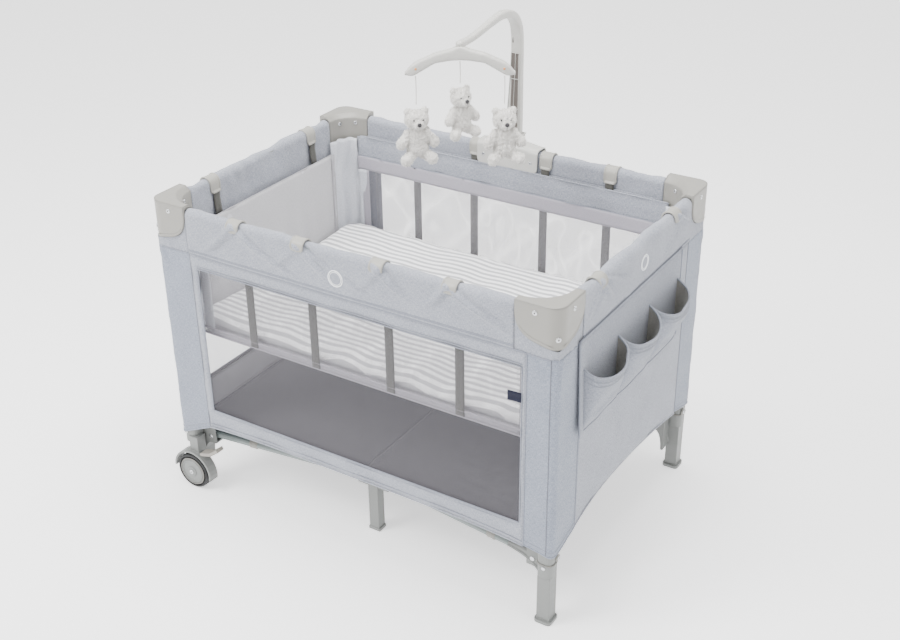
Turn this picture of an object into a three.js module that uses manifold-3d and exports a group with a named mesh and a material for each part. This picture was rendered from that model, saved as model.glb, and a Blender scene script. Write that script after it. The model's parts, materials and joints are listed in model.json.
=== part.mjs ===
// Travel play yard with a folding frame, a hanging bassinet, a side organizer and a toy mobile.
// Units are millimetres. +X runs along the long side towards the organizer end, +Y from the front long side
// to the back one, +Z up. The origin is the centre of the bottom face of the centre hub's foot.
import * as THREE from 'three';
import { mergeVertices } from 'three/addons/utils/BufferGeometryUtils.js';
import Module from 'manifold-3d';

const wasm = await Module();
wasm.setup();

// ---------------------------------------------------------------- driving dimensions
const GAP = 0.5; // between pieces that touch
const CORNER_X = 511; // outer faces of the corner castings
const CORNER_Y = 359;
const TOP_Z = 760;
const POST_X = 486; // centre lines of the corner posts
const POST_Y = 334;
const POST_SIDE = 25;
const POST_WALL = 1.6;

const CASTING = {
  arm: 99, width: 32, wall: 6, roof: 9, bottom: 656, round: 28, fillet: 66,
  shoulder: 732, skirt: 678, skirtRun: 52, tip: 668, innerChamfer: 10, slopeRun: 14, slopeDrop: 12,
};
const RAIL = { width: 14, height: 20, wall: 1.6, z: 735, latchPivot: 22, longPivot: 440, shortPivot: 290 };
const RAIL_X = 494.5; // centre lines of the rails, nearer the outside than the posts
const RAIL_Y = 342.5;
const LATCH = { width: 19, wall: 2, length: 92, bottom: 714, top: 745, web: 8 };
const TUBE = { radius: 9.5, bore: 8, z: 136, overrun: 3, sides: 14 };
const BRACKET = {
  pivotX: 444, pivotY: 306, block: 36, round: 12, blockTop: 186, armTop: 168, socket: 130,
  underside: 122, armEnd: 430, gussetFoot: 62,
};
const MID_FOOT = { pivotX: 26, y: 256, crossPivotY: 238, column: [26, 24], columnY: 262, pad: 30 };
const HUB = { pivotY: 20, width: 48, length: 80, top: 158, column: [28, 14], pad: [36, 30] };
const STRAP = { width: 25, thickness: 2, half: 30, height: 21, round: 9 };
const PLATE = 3.5; // moulded walls of the base fittings
const CHANNEL = 25; // clear width where a base tube pivots
const PAD_THICKNESS = 8;
const FOOT = { side: 30, pad: 40 };

const CLOTH = 3; // sewn cover, two layers and a stiffener
const SLEEVE = { outX: 508, outY: 356, arm: 97, bottom: 158, round: 16 };
const COVER = { longHalf: 410.5, shortHalf: 258.5, hem: 205, crown: 752, round: 9, innerDrop: 703 };
const FLOOR_PANEL = { halfX: 462, halfY: 308, z: 183, thickness: 8, round: 40 };
const BASSINET = { halfX: 470, halfY: 318, bottom: 438, top: 747, wall: 3, round: 56 };
const PAD = { halfX: 463, halfY: 311, bottom: 441.5, top: 466, round: 50 };

const WHEEL = { radius: 46, width: 24, x: -478, y: 352, bore: 4.3, axle: 3.8, rim: 39 };
const HOOD = { inner: 52, outer: 57, from: -12, to: 178, halfWidth: 13 };
const LEVER = { pivotX: -445, pivotZ: 105, length: 56, rise: 24, thickness: 8, width: 22 };
const AXLE_PLATE = { y: 332, halfThickness: 5, round: 16 };

const ORGANIZER = { x: 509, y0: -277, y1: 213, top: 655, bottom: 440, sheet: 2.5, rim: 588, bulge: 46 };
const POCKET_EDGES = [-260, -104, 48, 196];

const CLAMP = { x0: -78, x1: 88, outY: 366, inY: 322, bottom: 700, top: 764, wall: 4 };
const MAST = { x: -1, y: 378, foot: 690, width: 28, depth: 20 };
const HANGER = { x: 17, y: 92, turn: 31, half: 120, depth: 22 };
const STRING = { radius: 1.2, at: 97, sides: 8 };
const SIDE_TOY = { top: 933, height: 134, width: 84 };
const MIDDLE_TOY = { top: 981, height: 122, width: 74 };

// ---------------------------------------------------------------- colours
const finish = (hex, roughness, metalness = 0) => ({ color: new THREE.Color(hex), roughness, metalness });
const HEATHER = finish('#c6cad4', 0.95);
const MESH_CLOTH = finish('#b4b6bf', 0.9);
const FLOOR_CLOTH = finish('#919193', 0.95);
const SHEET_CLOTH = finish('#e6e6e6', 0.95);
const MOULDING = finish('#c4c3be', 0.5);
const PALE_MOULDING = finish('#d6d4d0', 0.45);
const STEEL = finish('#a3a8a2', 0.4, 0.6);
const TREAD = finish('#2b2b2c', 0.8);
const PLUSH = finish('#e1dedc', 1);
const THREAD = finish('#e4e2df', 0.8);

const yard = new THREE.Group();
yard.name = 'travel_play_yard';

// ---------------------------------------------------------------- solids
function add(name, geometry, material) {
  const mesh = new THREE.Mesh(geometry, new THREE.MeshStandardMaterial(material));
  mesh.name = name;
  yard.add(mesh);
  return mesh;
}

function solid(geometry) {
  geometry.deleteAttribute('normal');
  geometry.deleteAttribute('uv');
  const merged = mergeVertices(geometry, 1e-4);
  return new wasm.Manifold(new wasm.Mesh({
    numProp: 3,
    vertProperties: new Float32Array(merged.attributes.position.array),
    triVerts: new Uint32Array(merged.index.array),
  }));
}

function geometryOf(manifold) {
  const mesh = manifold.getMesh();
  const geometry = new THREE.BufferGeometry();
  geometry.setAttribute('position', new THREE.BufferAttribute(new Float32Array(mesh.vertProperties), 3));
  geometry.setIndex(new THREE.BufferAttribute(new Uint32Array(mesh.triVerts), 1));
  geometry.computeVertexNormals();
  return geometry;
}

const join = (first, ...others) => geometryOf(others.reduce((all, o) => all.add(solid(o)), solid(first)));
const cut = (first, ...tools) => geometryOf(tools.reduce((all, t) => all.subtract(solid(t)), solid(first)));

function box([x0, x1], [y0, y1], [z0, z1]) {
  const [lowX, highX] = [Math.min(x0, x1), Math.max(x0, x1)];
  const [lowY, highY] = [Math.min(y0, y1), Math.max(y0, y1)];
  const geometry = new THREE.BoxGeometry(highX - lowX, highY - lowY, z1 - z0);
  return geometry.translate((lowX + highX) / 2, (lowY + highY) / 2, (z0 + z1) / 2);
}

const outline = (points) => new THREE.Shape(points.map(([x, y]) => new THREE.Vector2(x, y)));

function extrude(shape, depth, steps = 1) {
  return new THREE.ExtrudeGeometry(shape, { depth, steps, bevelEnabled: false, curveSegments: 4 });
}

// An outline in X and Y, raised from z0 to z1.
const prismZ = (shape, z0, z1) => extrude(shape, z1 - z0).translate(0, 0, z0);

// An outline in Y and Z, drawn out from x0 to x1.
function prismX(shape, x0, x1) {
  const axes = new THREE.Matrix4().makeBasis(
    new THREE.Vector3(0, 1, 0), new THREE.Vector3(0, 0, 1), new THREE.Vector3(1, 0, 0));
  return extrude(shape, x1 - x0).applyMatrix4(axes).translate(x0, 0, 0);
}

// An outline in X and Z, drawn out from y0 to y1.
function prismY(shape, y0, y1) {
  const axes = new THREE.Matrix4().makeBasis(
    new THREE.Vector3(1, 0, 0), new THREE.Vector3(0, 0, 1), new THREE.Vector3(0, -1, 0));
  return extrude(shape, y1 - y0).applyMatrix4(axes).translate(0, y1, 0);
}

function arc(cx, cy, radius, fromDegrees, toDegrees, steps = 6) {
  return Array.from({ length: steps + 1 }, (_, i) => {
    const angle = THREE.MathUtils.degToRad(fromDegrees + ((toDegrees - fromDegrees) * i) / steps);
    return [cx + radius * Math.cos(angle), cy + radius * Math.sin(angle)];
  });
}

function roundedRectangle(halfX, halfY, radius, steps = 6) {
  return outline([
    ...arc(halfX - radius, halfY - radius, radius, 0, 90, steps),
    ...arc(radius - halfX, halfY - radius, radius, 90, 180, steps),
    ...arc(radius - halfX, radius - halfY, radius, 180, 270, steps),
    ...arc(halfX - radius, radius - halfY, radius, 270, 360, steps),
  ]);
}

// A round tube between two points, open at both ends, running on by `overrun` past each.
function roundTube(from, to, radius, bore, overrun) {
  const along = new THREE.Vector3().subVectors(to, from);
  const length = along.length() + 2 * overrun;
  along.normalize();
  const ring = outline(arc(0, 0, radius, 0, 360, TUBE.sides).slice(0, -1));
  ring.holes.push(new THREE.Path(outline(arc(0, 0, bore, 0, 360, TUBE.sides).slice(0, -1)).getPoints()));
  const turn = new THREE.Quaternion().setFromUnitVectors(new THREE.Vector3(0, 0, 1), along);
  const start = from.clone().addScaledVector(along, -overrun);
  return extrude(ring, length).applyQuaternion(turn).translate(start.x, start.y, start.z);
}

const CORNERS = [
  { name: 'front_left', sx: -1, sy: -1 },
  { name: 'front_right', sx: 1, sy: -1 },
  { name: 'back_left', sx: -1, sy: 1 },
  { name: 'back_right', sx: 1, sy: 1 },
];
const at = (corner, points) => outline(points.map(([x, y]) => [x * corner.sx, y * corner.sy]));

// ---------------------------------------------------------------- corner castings
// What is cut away below an outer face: it drops from the shoulder in a curve and runs down to a tip.
function skirt(sign, armEnd, corner) {
  const { shoulder, skirt: low, skirtRun, tip, bottom } = CASTING;
  const curve = new THREE.QuadraticBezierCurve(new THREE.Vector2(armEnd, shoulder),
    new THREE.Vector2(armEnd + skirtRun * 0.08, low + 8), new THREE.Vector2(armEnd + skirtRun, low));
  return [
    [armEnd - 1, bottom - 1], [armEnd - 1, shoulder], ...curve.getPoints(8).map((p) => [p.x, p.y]),
    [corner + 1, tip], [corner + 1, bottom - 1],
  ].map(([along, z]) => [sign * along, z]);
}

// The same for an inner face, which ends level with a chamfer at the arm's end.
function innerSkirt(sign, armEnd) {
  const { innerChamfer, bottom } = CASTING;
  return [
    [armEnd - 1, bottom - 1], [armEnd - 1, bottom + innerChamfer], [armEnd + innerChamfer, bottom - 1],
  ].map(([along, z]) => [sign * along, z]);
}

// A moulded cap over each corner: a channel along each rail, open below, and a socket for the post.
// Its top slopes down to the hollow inner face.
function cornerCasting(corner) {
  const { arm, width, wall, roof, bottom, round, fillet, slopeRun, slopeDrop } = CASTING;
  const armX = CORNER_X - arm;
  const armY = CORNER_Y - arm;
  const innerX = CORNER_X - width;
  const innerY = CORNER_Y - width;
  const body = prismZ(at(corner, [
    [armX, innerY],
    [armX, CORNER_Y],
    ...arc(CORNER_X - round, CORNER_Y - round, round, 90, 0),
    [CORNER_X, armY],
    [innerX, armY],
    ...arc(innerX - fillet, innerY - fillet, fillet, 0, 90, 12),
  ]), bottom, TOP_Z);
  const inside = width - 2 * wall;
  const postWall = POST_SIDE / 2 + wall;
  const long = box([corner.sx * (armX - 1), corner.sx * (POST_X - postWall)],
    [corner.sy * (RAIL_Y - inside / 2), corner.sy * (RAIL_Y + inside / 2)], [bottom - 1, TOP_Z - roof]);
  const short = box([corner.sx * (RAIL_X - inside / 2), corner.sx * (RAIL_X + inside / 2)],
    [corner.sy * (armY - 1), corner.sy * (POST_Y - postWall)], [bottom - 1, TOP_Z - roof]);
  const half = POST_SIDE / 2 + GAP;
  const socket = box([corner.sx * (POST_X - half), corner.sx * (POST_X + half)],
    [corner.sy * (POST_Y - half), corner.sy * (POST_Y + half)], [bottom - 1, RAIL.z]);
  const over = slopeDrop + 1;
  const foot = fillet - GAP;
  const slope = new THREE.CylinderGeometry(foot + (slopeRun * over) / slopeDrop, foot, over, 48)
    .rotateX(Math.PI / 2)
    .translate(corner.sx * (innerX - fillet), corner.sy * (innerY - fillet), TOP_Z + 1 - over / 2);
  const outX = [corner.sx * POST_X, corner.sx * (CORNER_X + 1)];
  const outY = [corner.sy * POST_Y, corner.sy * (CORNER_Y + 1)];
  const inX = [corner.sx * (armX - 1), corner.sx * POST_X];
  const inY = [corner.sy * (armY - 1), corner.sy * POST_Y];
  const sorted = (span) => span.toSorted((p, q) => p - q);
  return cut(body, long, short, socket, slope,
    prismY(outline(skirt(corner.sx, armX, CORNER_X)), ...sorted(outY)),
    prismX(outline(skirt(corner.sy, armY, CORNER_Y)), ...sorted(outX)),
    prismY(outline(innerSkirt(corner.sx, armX)), ...sorted(inY)),
    prismX(outline(innerSkirt(corner.sy, armY)), ...sorted(inX)));
}

// ---------------------------------------------------------------- posts and their sewn sleeves
function post(corner) {
  const side = roundedRectangle(POST_SIDE / 2, POST_SIDE / 2, 4, 3);
  const inner = POST_SIDE / 2 - POST_WALL;
  side.holes.push(new THREE.Path(roundedRectangle(inner, inner, 2.4, 3).getPoints()));
  return prismZ(side, BRACKET.socket + GAP, RAIL.z - GAP)
    .translate(corner.sx * POST_X, corner.sy * POST_Y, 0);
}

function sleeve(corner) {
  const { outX, outY, arm, bottom, round } = SLEEVE;
  return prismZ(at(corner, [
    [outX - arm, outY - CLOTH],
    [outX - arm, outY],
    ...arc(outX - round, outY - round, round, 90, 0),
    [outX, outY - arm],
    [outX - CLOTH, outY - arm],
    ...arc(outX - round, outY - round, round - CLOTH, 0, 90),
  ]), bottom, CASTING.tip - GAP);
}

// ---------------------------------------------------------------- folding rails
// A rail half along local X between two pivots, with round ends.
function railHalf(length) {
  const end = RAIL.height / 2;
  const bar = prismY(outline([
    ...arc(length, 0, end, -90, 90),
    ...arc(0, 0, end, 90, 270),
  ]), -RAIL.width / 2, RAIL.width / 2);
  const inner = RAIL.width / 2 - RAIL.wall;
  const bore = box([-2 * end, length + 2 * end], [-inner, inner], [RAIL.wall - end, end - RAIL.wall]);
  return cut(bar, bore);
}

// The latch housing joins two rail halves: open above, so that they can swing up, with a web between them.
function railLatch() {
  const { width, wall, length, bottom, top, web } = LATCH;
  const body = prismZ(roundedRectangle(length / 2, width / 2, 6, 3), bottom, top);
  const clear = width / 2 - wall;
  const trough = (side) => box([side * web, side * length], [-clear, clear], [bottom + wall, top + 1]);
  return cut(body, trough(-1), trough(1));
}

// ---------------------------------------------------------------- base fittings
function bracketBlock(corner) {
  const half = BRACKET.block / 2;
  const { pivotY, underside, armEnd, armTop, blockTop, gussetFoot } = BRACKET;
  const blockInX = POST_X - half;
  const block = prismZ(roundedRectangle(half, half, BRACKET.round, 4), underside, blockTop)
    .translate(corner.sx * POST_X, corner.sy * POST_Y, 0);
  const armHalf = CHANNEL / 2 + PLATE;
  const gusset = prismY(outline([
    [corner.sx * armEnd, underside - PLATE],
    ...new THREE.QuadraticBezierCurve(
      new THREE.Vector2(corner.sx * (armEnd + 12), underside - PLATE),
      new THREE.Vector2(corner.sx * blockInX, underside - PLATE),
      new THREE.Vector2(corner.sx * blockInX, gussetFoot)).getPoints(6).map((p) => [p.x, p.y]),
    [corner.sx * (blockInX + 6), gussetFoot],
    [corner.sx * (blockInX + 6), armTop],
    [corner.sx * armEnd, armTop - 6],
  ]), Math.min(corner.sy * (pivotY - armHalf), corner.sy * (pivotY + armHalf)),
  Math.max(corner.sy * (pivotY - armHalf), corner.sy * (pivotY + armHalf)));
  const halfChannel = CHANNEL / 2;
  const channel = box([corner.sx * (armEnd - 1), corner.sx * (blockInX - PLATE)],
    [corner.sy * (pivotY - halfChannel), corner.sy * (pivotY + halfChannel)], [underside, blockTop + 1]);
  const halfPost = POST_SIDE / 2 + GAP;
  const socket = box([corner.sx * (POST_X - halfPost), corner.sx * (POST_X + halfPost)],
    [corner.sy * (POST_Y - halfPost), corner.sy * (POST_Y + halfPost)], [BRACKET.socket, blockTop + 1]);
  return { parts: [block, gusset], tools: [channel, socket] };
}

function footBracket(corner) {
  const { parts, tools } = bracketBlock(corner);
  const column = box([-FOOT.side / 2, FOOT.side / 2], [-FOOT.side / 2, FOOT.side / 2],
    [PAD_THICKNESS - 1, BRACKET.underside + 1]).translate(corner.sx * POST_X, corner.sy * POST_Y, 0);
  const pad = prismZ(roundedRectangle(FOOT.pad / 2, FOOT.pad / 2, 8, 3), 0, PAD_THICKNESS)
    .translate(corner.sx * POST_X, corner.sy * POST_Y, 0);
  return cut(join(...parts, column, pad), ...tools);
}

// The wheel bracket carries a plate down to the axle stub and a hood round the tyre.
function wheelBracket(corner) {
  const { parts, tools } = bracketBlock(corner);
  const { x, y, radius, axle } = WHEEL;
  const across = (centre, half) => [corner.sy * centre - half, corner.sy * centre + half];
  const plate = prismY(outline([
    [x - AXLE_PLATE.round, radius],
    ...arc(x, radius, AXLE_PLATE.round, 180, 360),
    [x + 18, BRACKET.underside + 4],
    [x - 24, BRACKET.underside + 4],
  ]), ...across(AXLE_PLATE.y, AXLE_PLATE.halfThickness));
  const stub = new THREE.CylinderGeometry(axle, axle, 38, 16).translate(x, corner.sy * 349, radius);
  const hood = prismY(outline([
    ...arc(x, radius, HOOD.outer, HOOD.from, HOOD.to, 14),
    ...arc(x, radius, HOOD.inner, HOOD.to, HOOD.from, 14),
  ]), ...across(y, HOOD.halfWidth));
  const web = prismY(outline([
    [x - 8, radius + HOOD.inner + 1],
    [x + 18, radius + HOOD.inner - 3],
    [x + 18, BRACKET.underside + 20],
    [x - 8, BRACKET.underside + 20],
  ]), ...across(341, 14));
  return cut(join(...parts, plate, stub, hood, web), ...tools);
}

function wheel(corner) {
  const bore = WHEEL.bore;
  const half = WHEEL.width / 2;
  const profile = [
    [bore, -half], [WHEEL.rim - 14, -half], [WHEEL.rim - 12, 4 - half], [WHEEL.rim, 4 - half],
    [WHEEL.rim + 2, -half], [WHEEL.radius - 2, -half], [WHEEL.radius, 3 - half],
    [WHEEL.radius, half - 3], [WHEEL.radius - 2, half], [WHEEL.rim + 2, half],
    [WHEEL.rim, half - 4], [WHEEL.rim - 12, half - 4], [WHEEL.rim - 14, half], [bore, half], [bore, -half],
  ];
  return new THREE.LatheGeometry(profile.map(([r, y]) => new THREE.Vector2(r, y)), 28)
    .translate(WHEEL.x, corner.sy * (WHEEL.y + 1), WHEEL.radius);
}

// The foot-operated brake paddle, hinged over the hood.
function brakeLever(corner) {
  const { pivotX, pivotZ, length, rise, thickness, width } = LEVER;
  const y = corner.sy * WHEEL.y;
  return prismY(outline([
    ...arc(pivotX, pivotZ, thickness / 2, 110, 290, 5),
    [pivotX + length * 0.55, pivotZ + rise * 0.2],
    [pivotX + length, pivotZ + rise],
    [pivotX + length - 5, pivotZ + rise + 7],
    [pivotX + length * 0.5, pivotZ + rise * 0.2 + thickness],
  ]), y - width / 2, y + width / 2);
}

function midFoot(sy) {
  const { pivotX, y, crossPivotY, column, columnY, pad } = MID_FOOT;
  const plate = CHANNEL / 2 + PLATE;
  const bottom = TUBE.z - 14;
  const top = TUBE.z + 16;
  const head = box([-pivotX - 16, pivotX + 16], [sy * (y - plate), sy * (y + plate)], [bottom, top]);
  const crossHead = box([-plate, plate], [sy * (crossPivotY - 16), sy * y], [bottom, top]);
  const shaft = box([-column[0] / 2, column[0] / 2],
    [sy * (columnY - column[1] / 2), sy * (columnY + column[1] / 2)], [PAD_THICKNESS - 1, top]);
  const foot = box([-pad / 2, pad / 2], [sy * (columnY - pad / 2 + 2), sy * (columnY + pad / 2 - 2)],
    [0, PAD_THICKNESS]);
  const reach = pivotX + 17;
  const tubeSlot = (side) => box([side * (pivotX - 10.5), side * reach],
    [sy * (y - CHANNEL / 2), sy * (y + CHANNEL / 2)], [bottom - 1, top - PLATE]);
  const crossSlot = box([-CHANNEL / 2, CHANNEL / 2], [sy * (crossPivotY - 17), sy * (crossPivotY + 10.5)],
    [bottom + PLATE, top + 1]);
  return cut(join(head, crossHead, shaft, foot), tubeSlot(-1), tubeSlot(1), crossSlot);
}

function centreHub() {
  const { width, length, top, column, pad, pivotY } = HUB;
  const bottom = TUBE.z - 16;
  const head = prismZ(roundedRectangle(width / 2, length / 2, 12, 4), bottom, top);
  const shaft = box([-column[0] / 2, column[0] / 2], [-column[1] / 2, column[1] / 2],
    [PAD_THICKNESS - 1, bottom + 1]);
  const foot = prismZ(roundedRectangle(pad[0] / 2, pad[1] / 2, 6, 3), 0, PAD_THICKNESS);
  const slot = (side) => box([-CHANNEL / 2, CHANNEL / 2], [side * (pivotY - 11.5), side * length],
    [bottom - 1, top - 7]);
  return cut(join(head, shaft, foot), slot(-1), slot(1));
}

// A webbing loop that stands up from the hub: pulling it folds the base.
function pullStrap() {
  const { half, height, round } = STRAP;
  const loop = (inset) => outline([
    [half - inset, inset], ...arc(half - round - inset, height - round, round - inset, 0, 90, 4),
    ...arc(inset + round - half, height - round, round - inset, 90, 180, 4), [inset - half, inset],
  ]);
  const band = loop(0);
  band.holes.push(new THREE.Path(loop(STRAP.thickness).getPoints()));
  return prismX(band, -STRAP.width / 2, STRAP.width / 2).translate(0, 0, HUB.top + GAP);
}

// ---------------------------------------------------------------- sewn covers
// The band folds over the rail and runs on down as the side wall.
function coverProfile(out, sign) {
  const inner = out - 2 * (out - (sign.long ? RAIL_Y : RAIL_X));
  const { hem, crown, round, innerDrop } = COVER;
  const points = [
    [out, hem],
    ...arc(out - round, crown - round, round, 0, 90, 4),
    ...arc(inner + round, crown - round, round, 90, 180, 4),
    [inner, innerDrop],
    [inner + CLOTH, innerDrop],
    ...arc(inner + round, crown - round, round - CLOTH, 180, 90, 4),
    ...arc(out - round, crown - round, round - CLOTH, 90, 0, 4),
    [out - CLOTH, hem],
  ];
  return outline(points.map(([across, z]) => [across * sign.side, z]));
}

function longCover(side) {
  return prismX(coverProfile(SLEEVE.outY, { side, long: true }), -COVER.longHalf, COVER.longHalf);
}

function shortCover(side) {
  return prismY(coverProfile(SLEEVE.outX, { side, long: false }), -COVER.shortHalf, COVER.shortHalf);
}

// ---------------------------------------------------------------- bassinet, pad and organizer
function bassinetShell() {
  const { halfX, halfY, bottom, top, wall, round } = BASSINET;
  const body = prismZ(roundedRectangle(halfX, halfY, round), bottom, top);
  const inside = prismZ(roundedRectangle(halfX - wall, halfY - wall, round - wall), bottom + wall, top + 1);
  return cut(body, inside);
}

function pocketFront(y0, y1, bulge, inset) {
  const steps = 8;
  const middle = (y0 + y1) / 2;
  const half = (y1 - y0) / 2 - inset;
  return Array.from({ length: steps + 1 }, (_, i) => {
    const angle = Math.PI * (1 - i / steps);
    const out = (bulge - inset) * Math.sin(angle) ** 0.8;
    return [ORGANIZER.x + ORGANIZER.sheet + out, middle + half * Math.cos(angle)];
  });
}

function organizer() {
  const { x, y0, y1, top, bottom, sheet, rim, bulge } = ORGANIZER;
  const panel = box([x, x + sheet], [y0, y1], [bottom, top]);
  const parts = [panel];
  const tools = [];
  for (let i = 0; i < POCKET_EDGES.length - 1; i += 1) {
    const [from, to] = [POCKET_EDGES[i], POCKET_EDGES[i + 1]];
    const outside = [[x + 1, from], ...pocketFront(from, to, bulge, 0), [x + 1, to]];
    const inside = pocketFront(from, to, bulge, CLOTH);
    parts.push(prismZ(outline(outside), bottom + 2, rim));
    tools.push(prismZ(outline(inside), bottom + 2 + CLOTH, rim + 1));
  }
  return cut(join(...parts), ...tools);
}

// ---------------------------------------------------------------- mobile
function mobileClamp() {
  const { x0, x1, outY, inY, bottom, top, wall } = CLAMP;
  const saddle = box([x0, x1], [inY, outY], [bottom, top]);
  const gap = box([x0 - 1, x1 + 1], [inY + wall, outY - wall - 1], [bottom - 1, top - wall]);
  const half = MAST.width / 2 + 4;
  const housing = box([MAST.x - half, MAST.x + half], [outY - 2, MAST.y + MAST.depth / 2 + 4],
    [bottom - 14, top + 6]);
  const socket = box([MAST.x - MAST.width / 2 - GAP, MAST.x + MAST.width / 2 + GAP],
    [MAST.y - MAST.depth / 2 - GAP, MAST.y + MAST.depth / 2 + GAP], [bottom - 11, top + 7]);
  return cut(join(cut(saddle, gap), housing), socket);
}

// The arm bends out over the bassinet and a little to one side, to end above the hanger.
function mobileArm() {
  const { x, y, foot, width, depth } = MAST;
  const lean = (HANGER.x - x) / (y - HANGER.y);
  const path = new THREE.CatmullRomCurve3([
    [y, foot], [y, 780], [y, 900], [y, 985], [y - 8, 1038], [y - 36, 1070], [y - 84, 1082], [y - 140, 1078],
    [y - 195, 1069], [y - 245, 1064], [HANGER.y - 8, 1066],
  ].map(([py, pz]) => new THREE.Vector3(x + lean * (y - py), py, pz)));
  const section = roundedRectangle(depth / 2, width / 2, 5, 3);
  return new THREE.ExtrudeGeometry(section, { steps: 34, bevelEnabled: false, extrudePath: path });
}

function mobileHanger() {
  const { x, y, turn, half, depth } = HANGER;
  const bow = new THREE.Shape();
  bow.moveTo(-half, 1005);
  bow.quadraticCurveTo(6 - half, 1022, 24 - half, 1030);
  bow.quadraticCurveTo(-54, 1047, -16, 1052);
  bow.lineTo(16, 1052);
  bow.quadraticCurveTo(54, 1047, half - 24, 1030);
  bow.quadraticCurveTo(half - 6, 1022, half, 1005);
  bow.quadraticCurveTo(half - 12, 998, half - 28, 1001);
  bow.quadraticCurveTo(46, 1033, 0, 1033);
  bow.quadraticCurveTo(-46, 1033, 28 - half, 1001);
  bow.quadraticCurveTo(12 - half, 998, -half, 1005);
  const bar = prismY(bow, -depth / 2, depth / 2);
  const neck = new THREE.LatheGeometry([[0, 1040], [15, 1040], [13, 1051], [6, 1054], [0, 1054]]
    .map(([r, z]) => new THREE.Vector2(r, z)), 16).rotateX(Math.PI / 2);
  return join(bar, neck).rotateZ(THREE.MathUtils.degToRad(turn)).translate(x, y, 0);
}

const hangerPoint = (along) => [
  HANGER.x + along * Math.cos(THREE.MathUtils.degToRad(HANGER.turn)),
  HANGER.y + along * Math.sin(THREE.MathUtils.degToRad(HANGER.turn)),
];

function toyString(along, top, bottom) {
  const [x, y] = hangerPoint(along);
  const path = new THREE.LineCurve3(new THREE.Vector3(x, y, top), new THREE.Vector3(x, y, bottom));
  const round = outline(arc(0, 0, STRING.radius, 0, 360, STRING.sides).slice(0, -1));
  return new THREE.ExtrudeGeometry(round, { steps: 10, bevelEnabled: false, extrudePath: path });
}

// A plush toy in outline: a head over a wider body, turned on the vertical.
function plushToy(along, { top, height, width }) {
  const [x, y] = hangerPoint(along);
  const r = width / 2;
  const profile = [
    [0, -height], [0.62, -height * 0.96], [0.86, -height * 0.84], [0.78, -height * 0.66],
    [0.62, -height * 0.5],
    [0.5, -height * 0.42], [0.58, -height * 0.3], [0.6, -height * 0.18], [0.42, -height * 0.05], [0, 0],
  ];
  return new THREE.LatheGeometry(profile.map(([share, z]) => new THREE.Vector2(share * r, z)), 14)
    .rotateX(Math.PI / 2).translate(x, y, top);
}

// ---------------------------------------------------------------- assembly
const LONG_RAIL = RAIL.longPivot - RAIL.latchPivot;
const SHORT_RAIL = RAIL.shortPivot - RAIL.latchPivot;
const QUARTER = Math.PI / 2;

for (const corner of CORNERS) {
  add(`corner_casting_${corner.name}`, cornerCasting(corner), MOULDING);
  add(`post_${corner.name}`, post(corner), STEEL);
  add(`post_sleeve_${corner.name}`, sleeve(corner), HEATHER);
  if (corner.sx > 0) {
    add(`foot_bracket_${corner.name}`, footBracket(corner), MOULDING);
  } else {
    add(`wheel_bracket_${corner.name}`, wheelBracket(corner), MOULDING);
    add(`wheel_${corner.name}`, wheel(corner), TREAD);
    add(`brake_lever_${corner.name}`, brakeLever(corner), MOULDING);
  }
  const outer = new THREE.Vector3(corner.sx * BRACKET.pivotX, corner.sy * BRACKET.pivotY, TUBE.z);
  const inner = new THREE.Vector3(corner.sx * MID_FOOT.pivotX, corner.sy * MID_FOOT.y, TUBE.z);
  add(`base_tube_${corner.name}`, roundTube(outer, inner, TUBE.radius, TUBE.bore, TUBE.overrun), STEEL);
}

for (const [side, sy] of [['front', -1], ['back', 1]]) {
  for (const [end, sx] of [['left', -1], ['right', 1]]) {
    const half = railHalf(LONG_RAIL).rotateZ(sx > 0 ? 0 : 2 * QUARTER);
    add(`rail_${side}_${end}`, half.translate(sx * RAIL.latchPivot, sy * RAIL_Y, RAIL.z), STEEL);
  }
  add(`rail_latch_${side}`, railLatch().translate(0, sy * RAIL_Y, 0), MOULDING);
  add(`mid_foot_${side}`, midFoot(sy), MOULDING);
  const outer = new THREE.Vector3(0, sy * MID_FOOT.crossPivotY, TUBE.z);
  const inner = new THREE.Vector3(0, sy * HUB.pivotY, TUBE.z);
  add(`cross_tube_${side}`, roundTube(outer, inner, TUBE.radius, TUBE.bore, TUBE.overrun), STEEL);
  add(`cover_${side}`, longCover(sy), HEATHER);
}

for (const [end, sx] of [['left', -1], ['right', 1]]) {
  for (const [side, sy] of [['front', -1], ['back', 1]]) {
    const half = railHalf(SHORT_RAIL).rotateZ(sy * QUARTER);
    add(`rail_${end}_${side}`, half.translate(sx * RAIL_X, sy * RAIL.latchPivot, RAIL.z), STEEL);
  }
  add(`rail_latch_${end}`, railLatch().rotateZ(QUARTER).translate(sx * RAIL_X, 0, 0), MOULDING);
  add(`cover_${end}`, shortCover(sx), HEATHER);
}

add('centre_hub', centreHub(), MOULDING);
add('hub_pull_strap', pullStrap(), FLOOR_CLOTH);
add('floor_panel', prismZ(roundedRectangle(FLOOR_PANEL.halfX, FLOOR_PANEL.halfY, FLOOR_PANEL.round, 4),
  FLOOR_PANEL.z, FLOOR_PANEL.z + FLOOR_PANEL.thickness), FLOOR_CLOTH);
add('bassinet_shell', bassinetShell(), MESH_CLOTH);
const padOutline = roundedRectangle(PAD.halfX, PAD.halfY, PAD.round, 4);
add('bassinet_pad', prismZ(padOutline, PAD.bottom, PAD.top), SHEET_CLOTH);
add('organizer', organizer(), HEATHER);
add('mobile_clamp', mobileClamp(), PALE_MOULDING);
add('mobile_arm', mobileArm(), PALE_MOULDING);
add('mobile_hanger', mobileHanger(), PALE_MOULDING);

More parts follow.
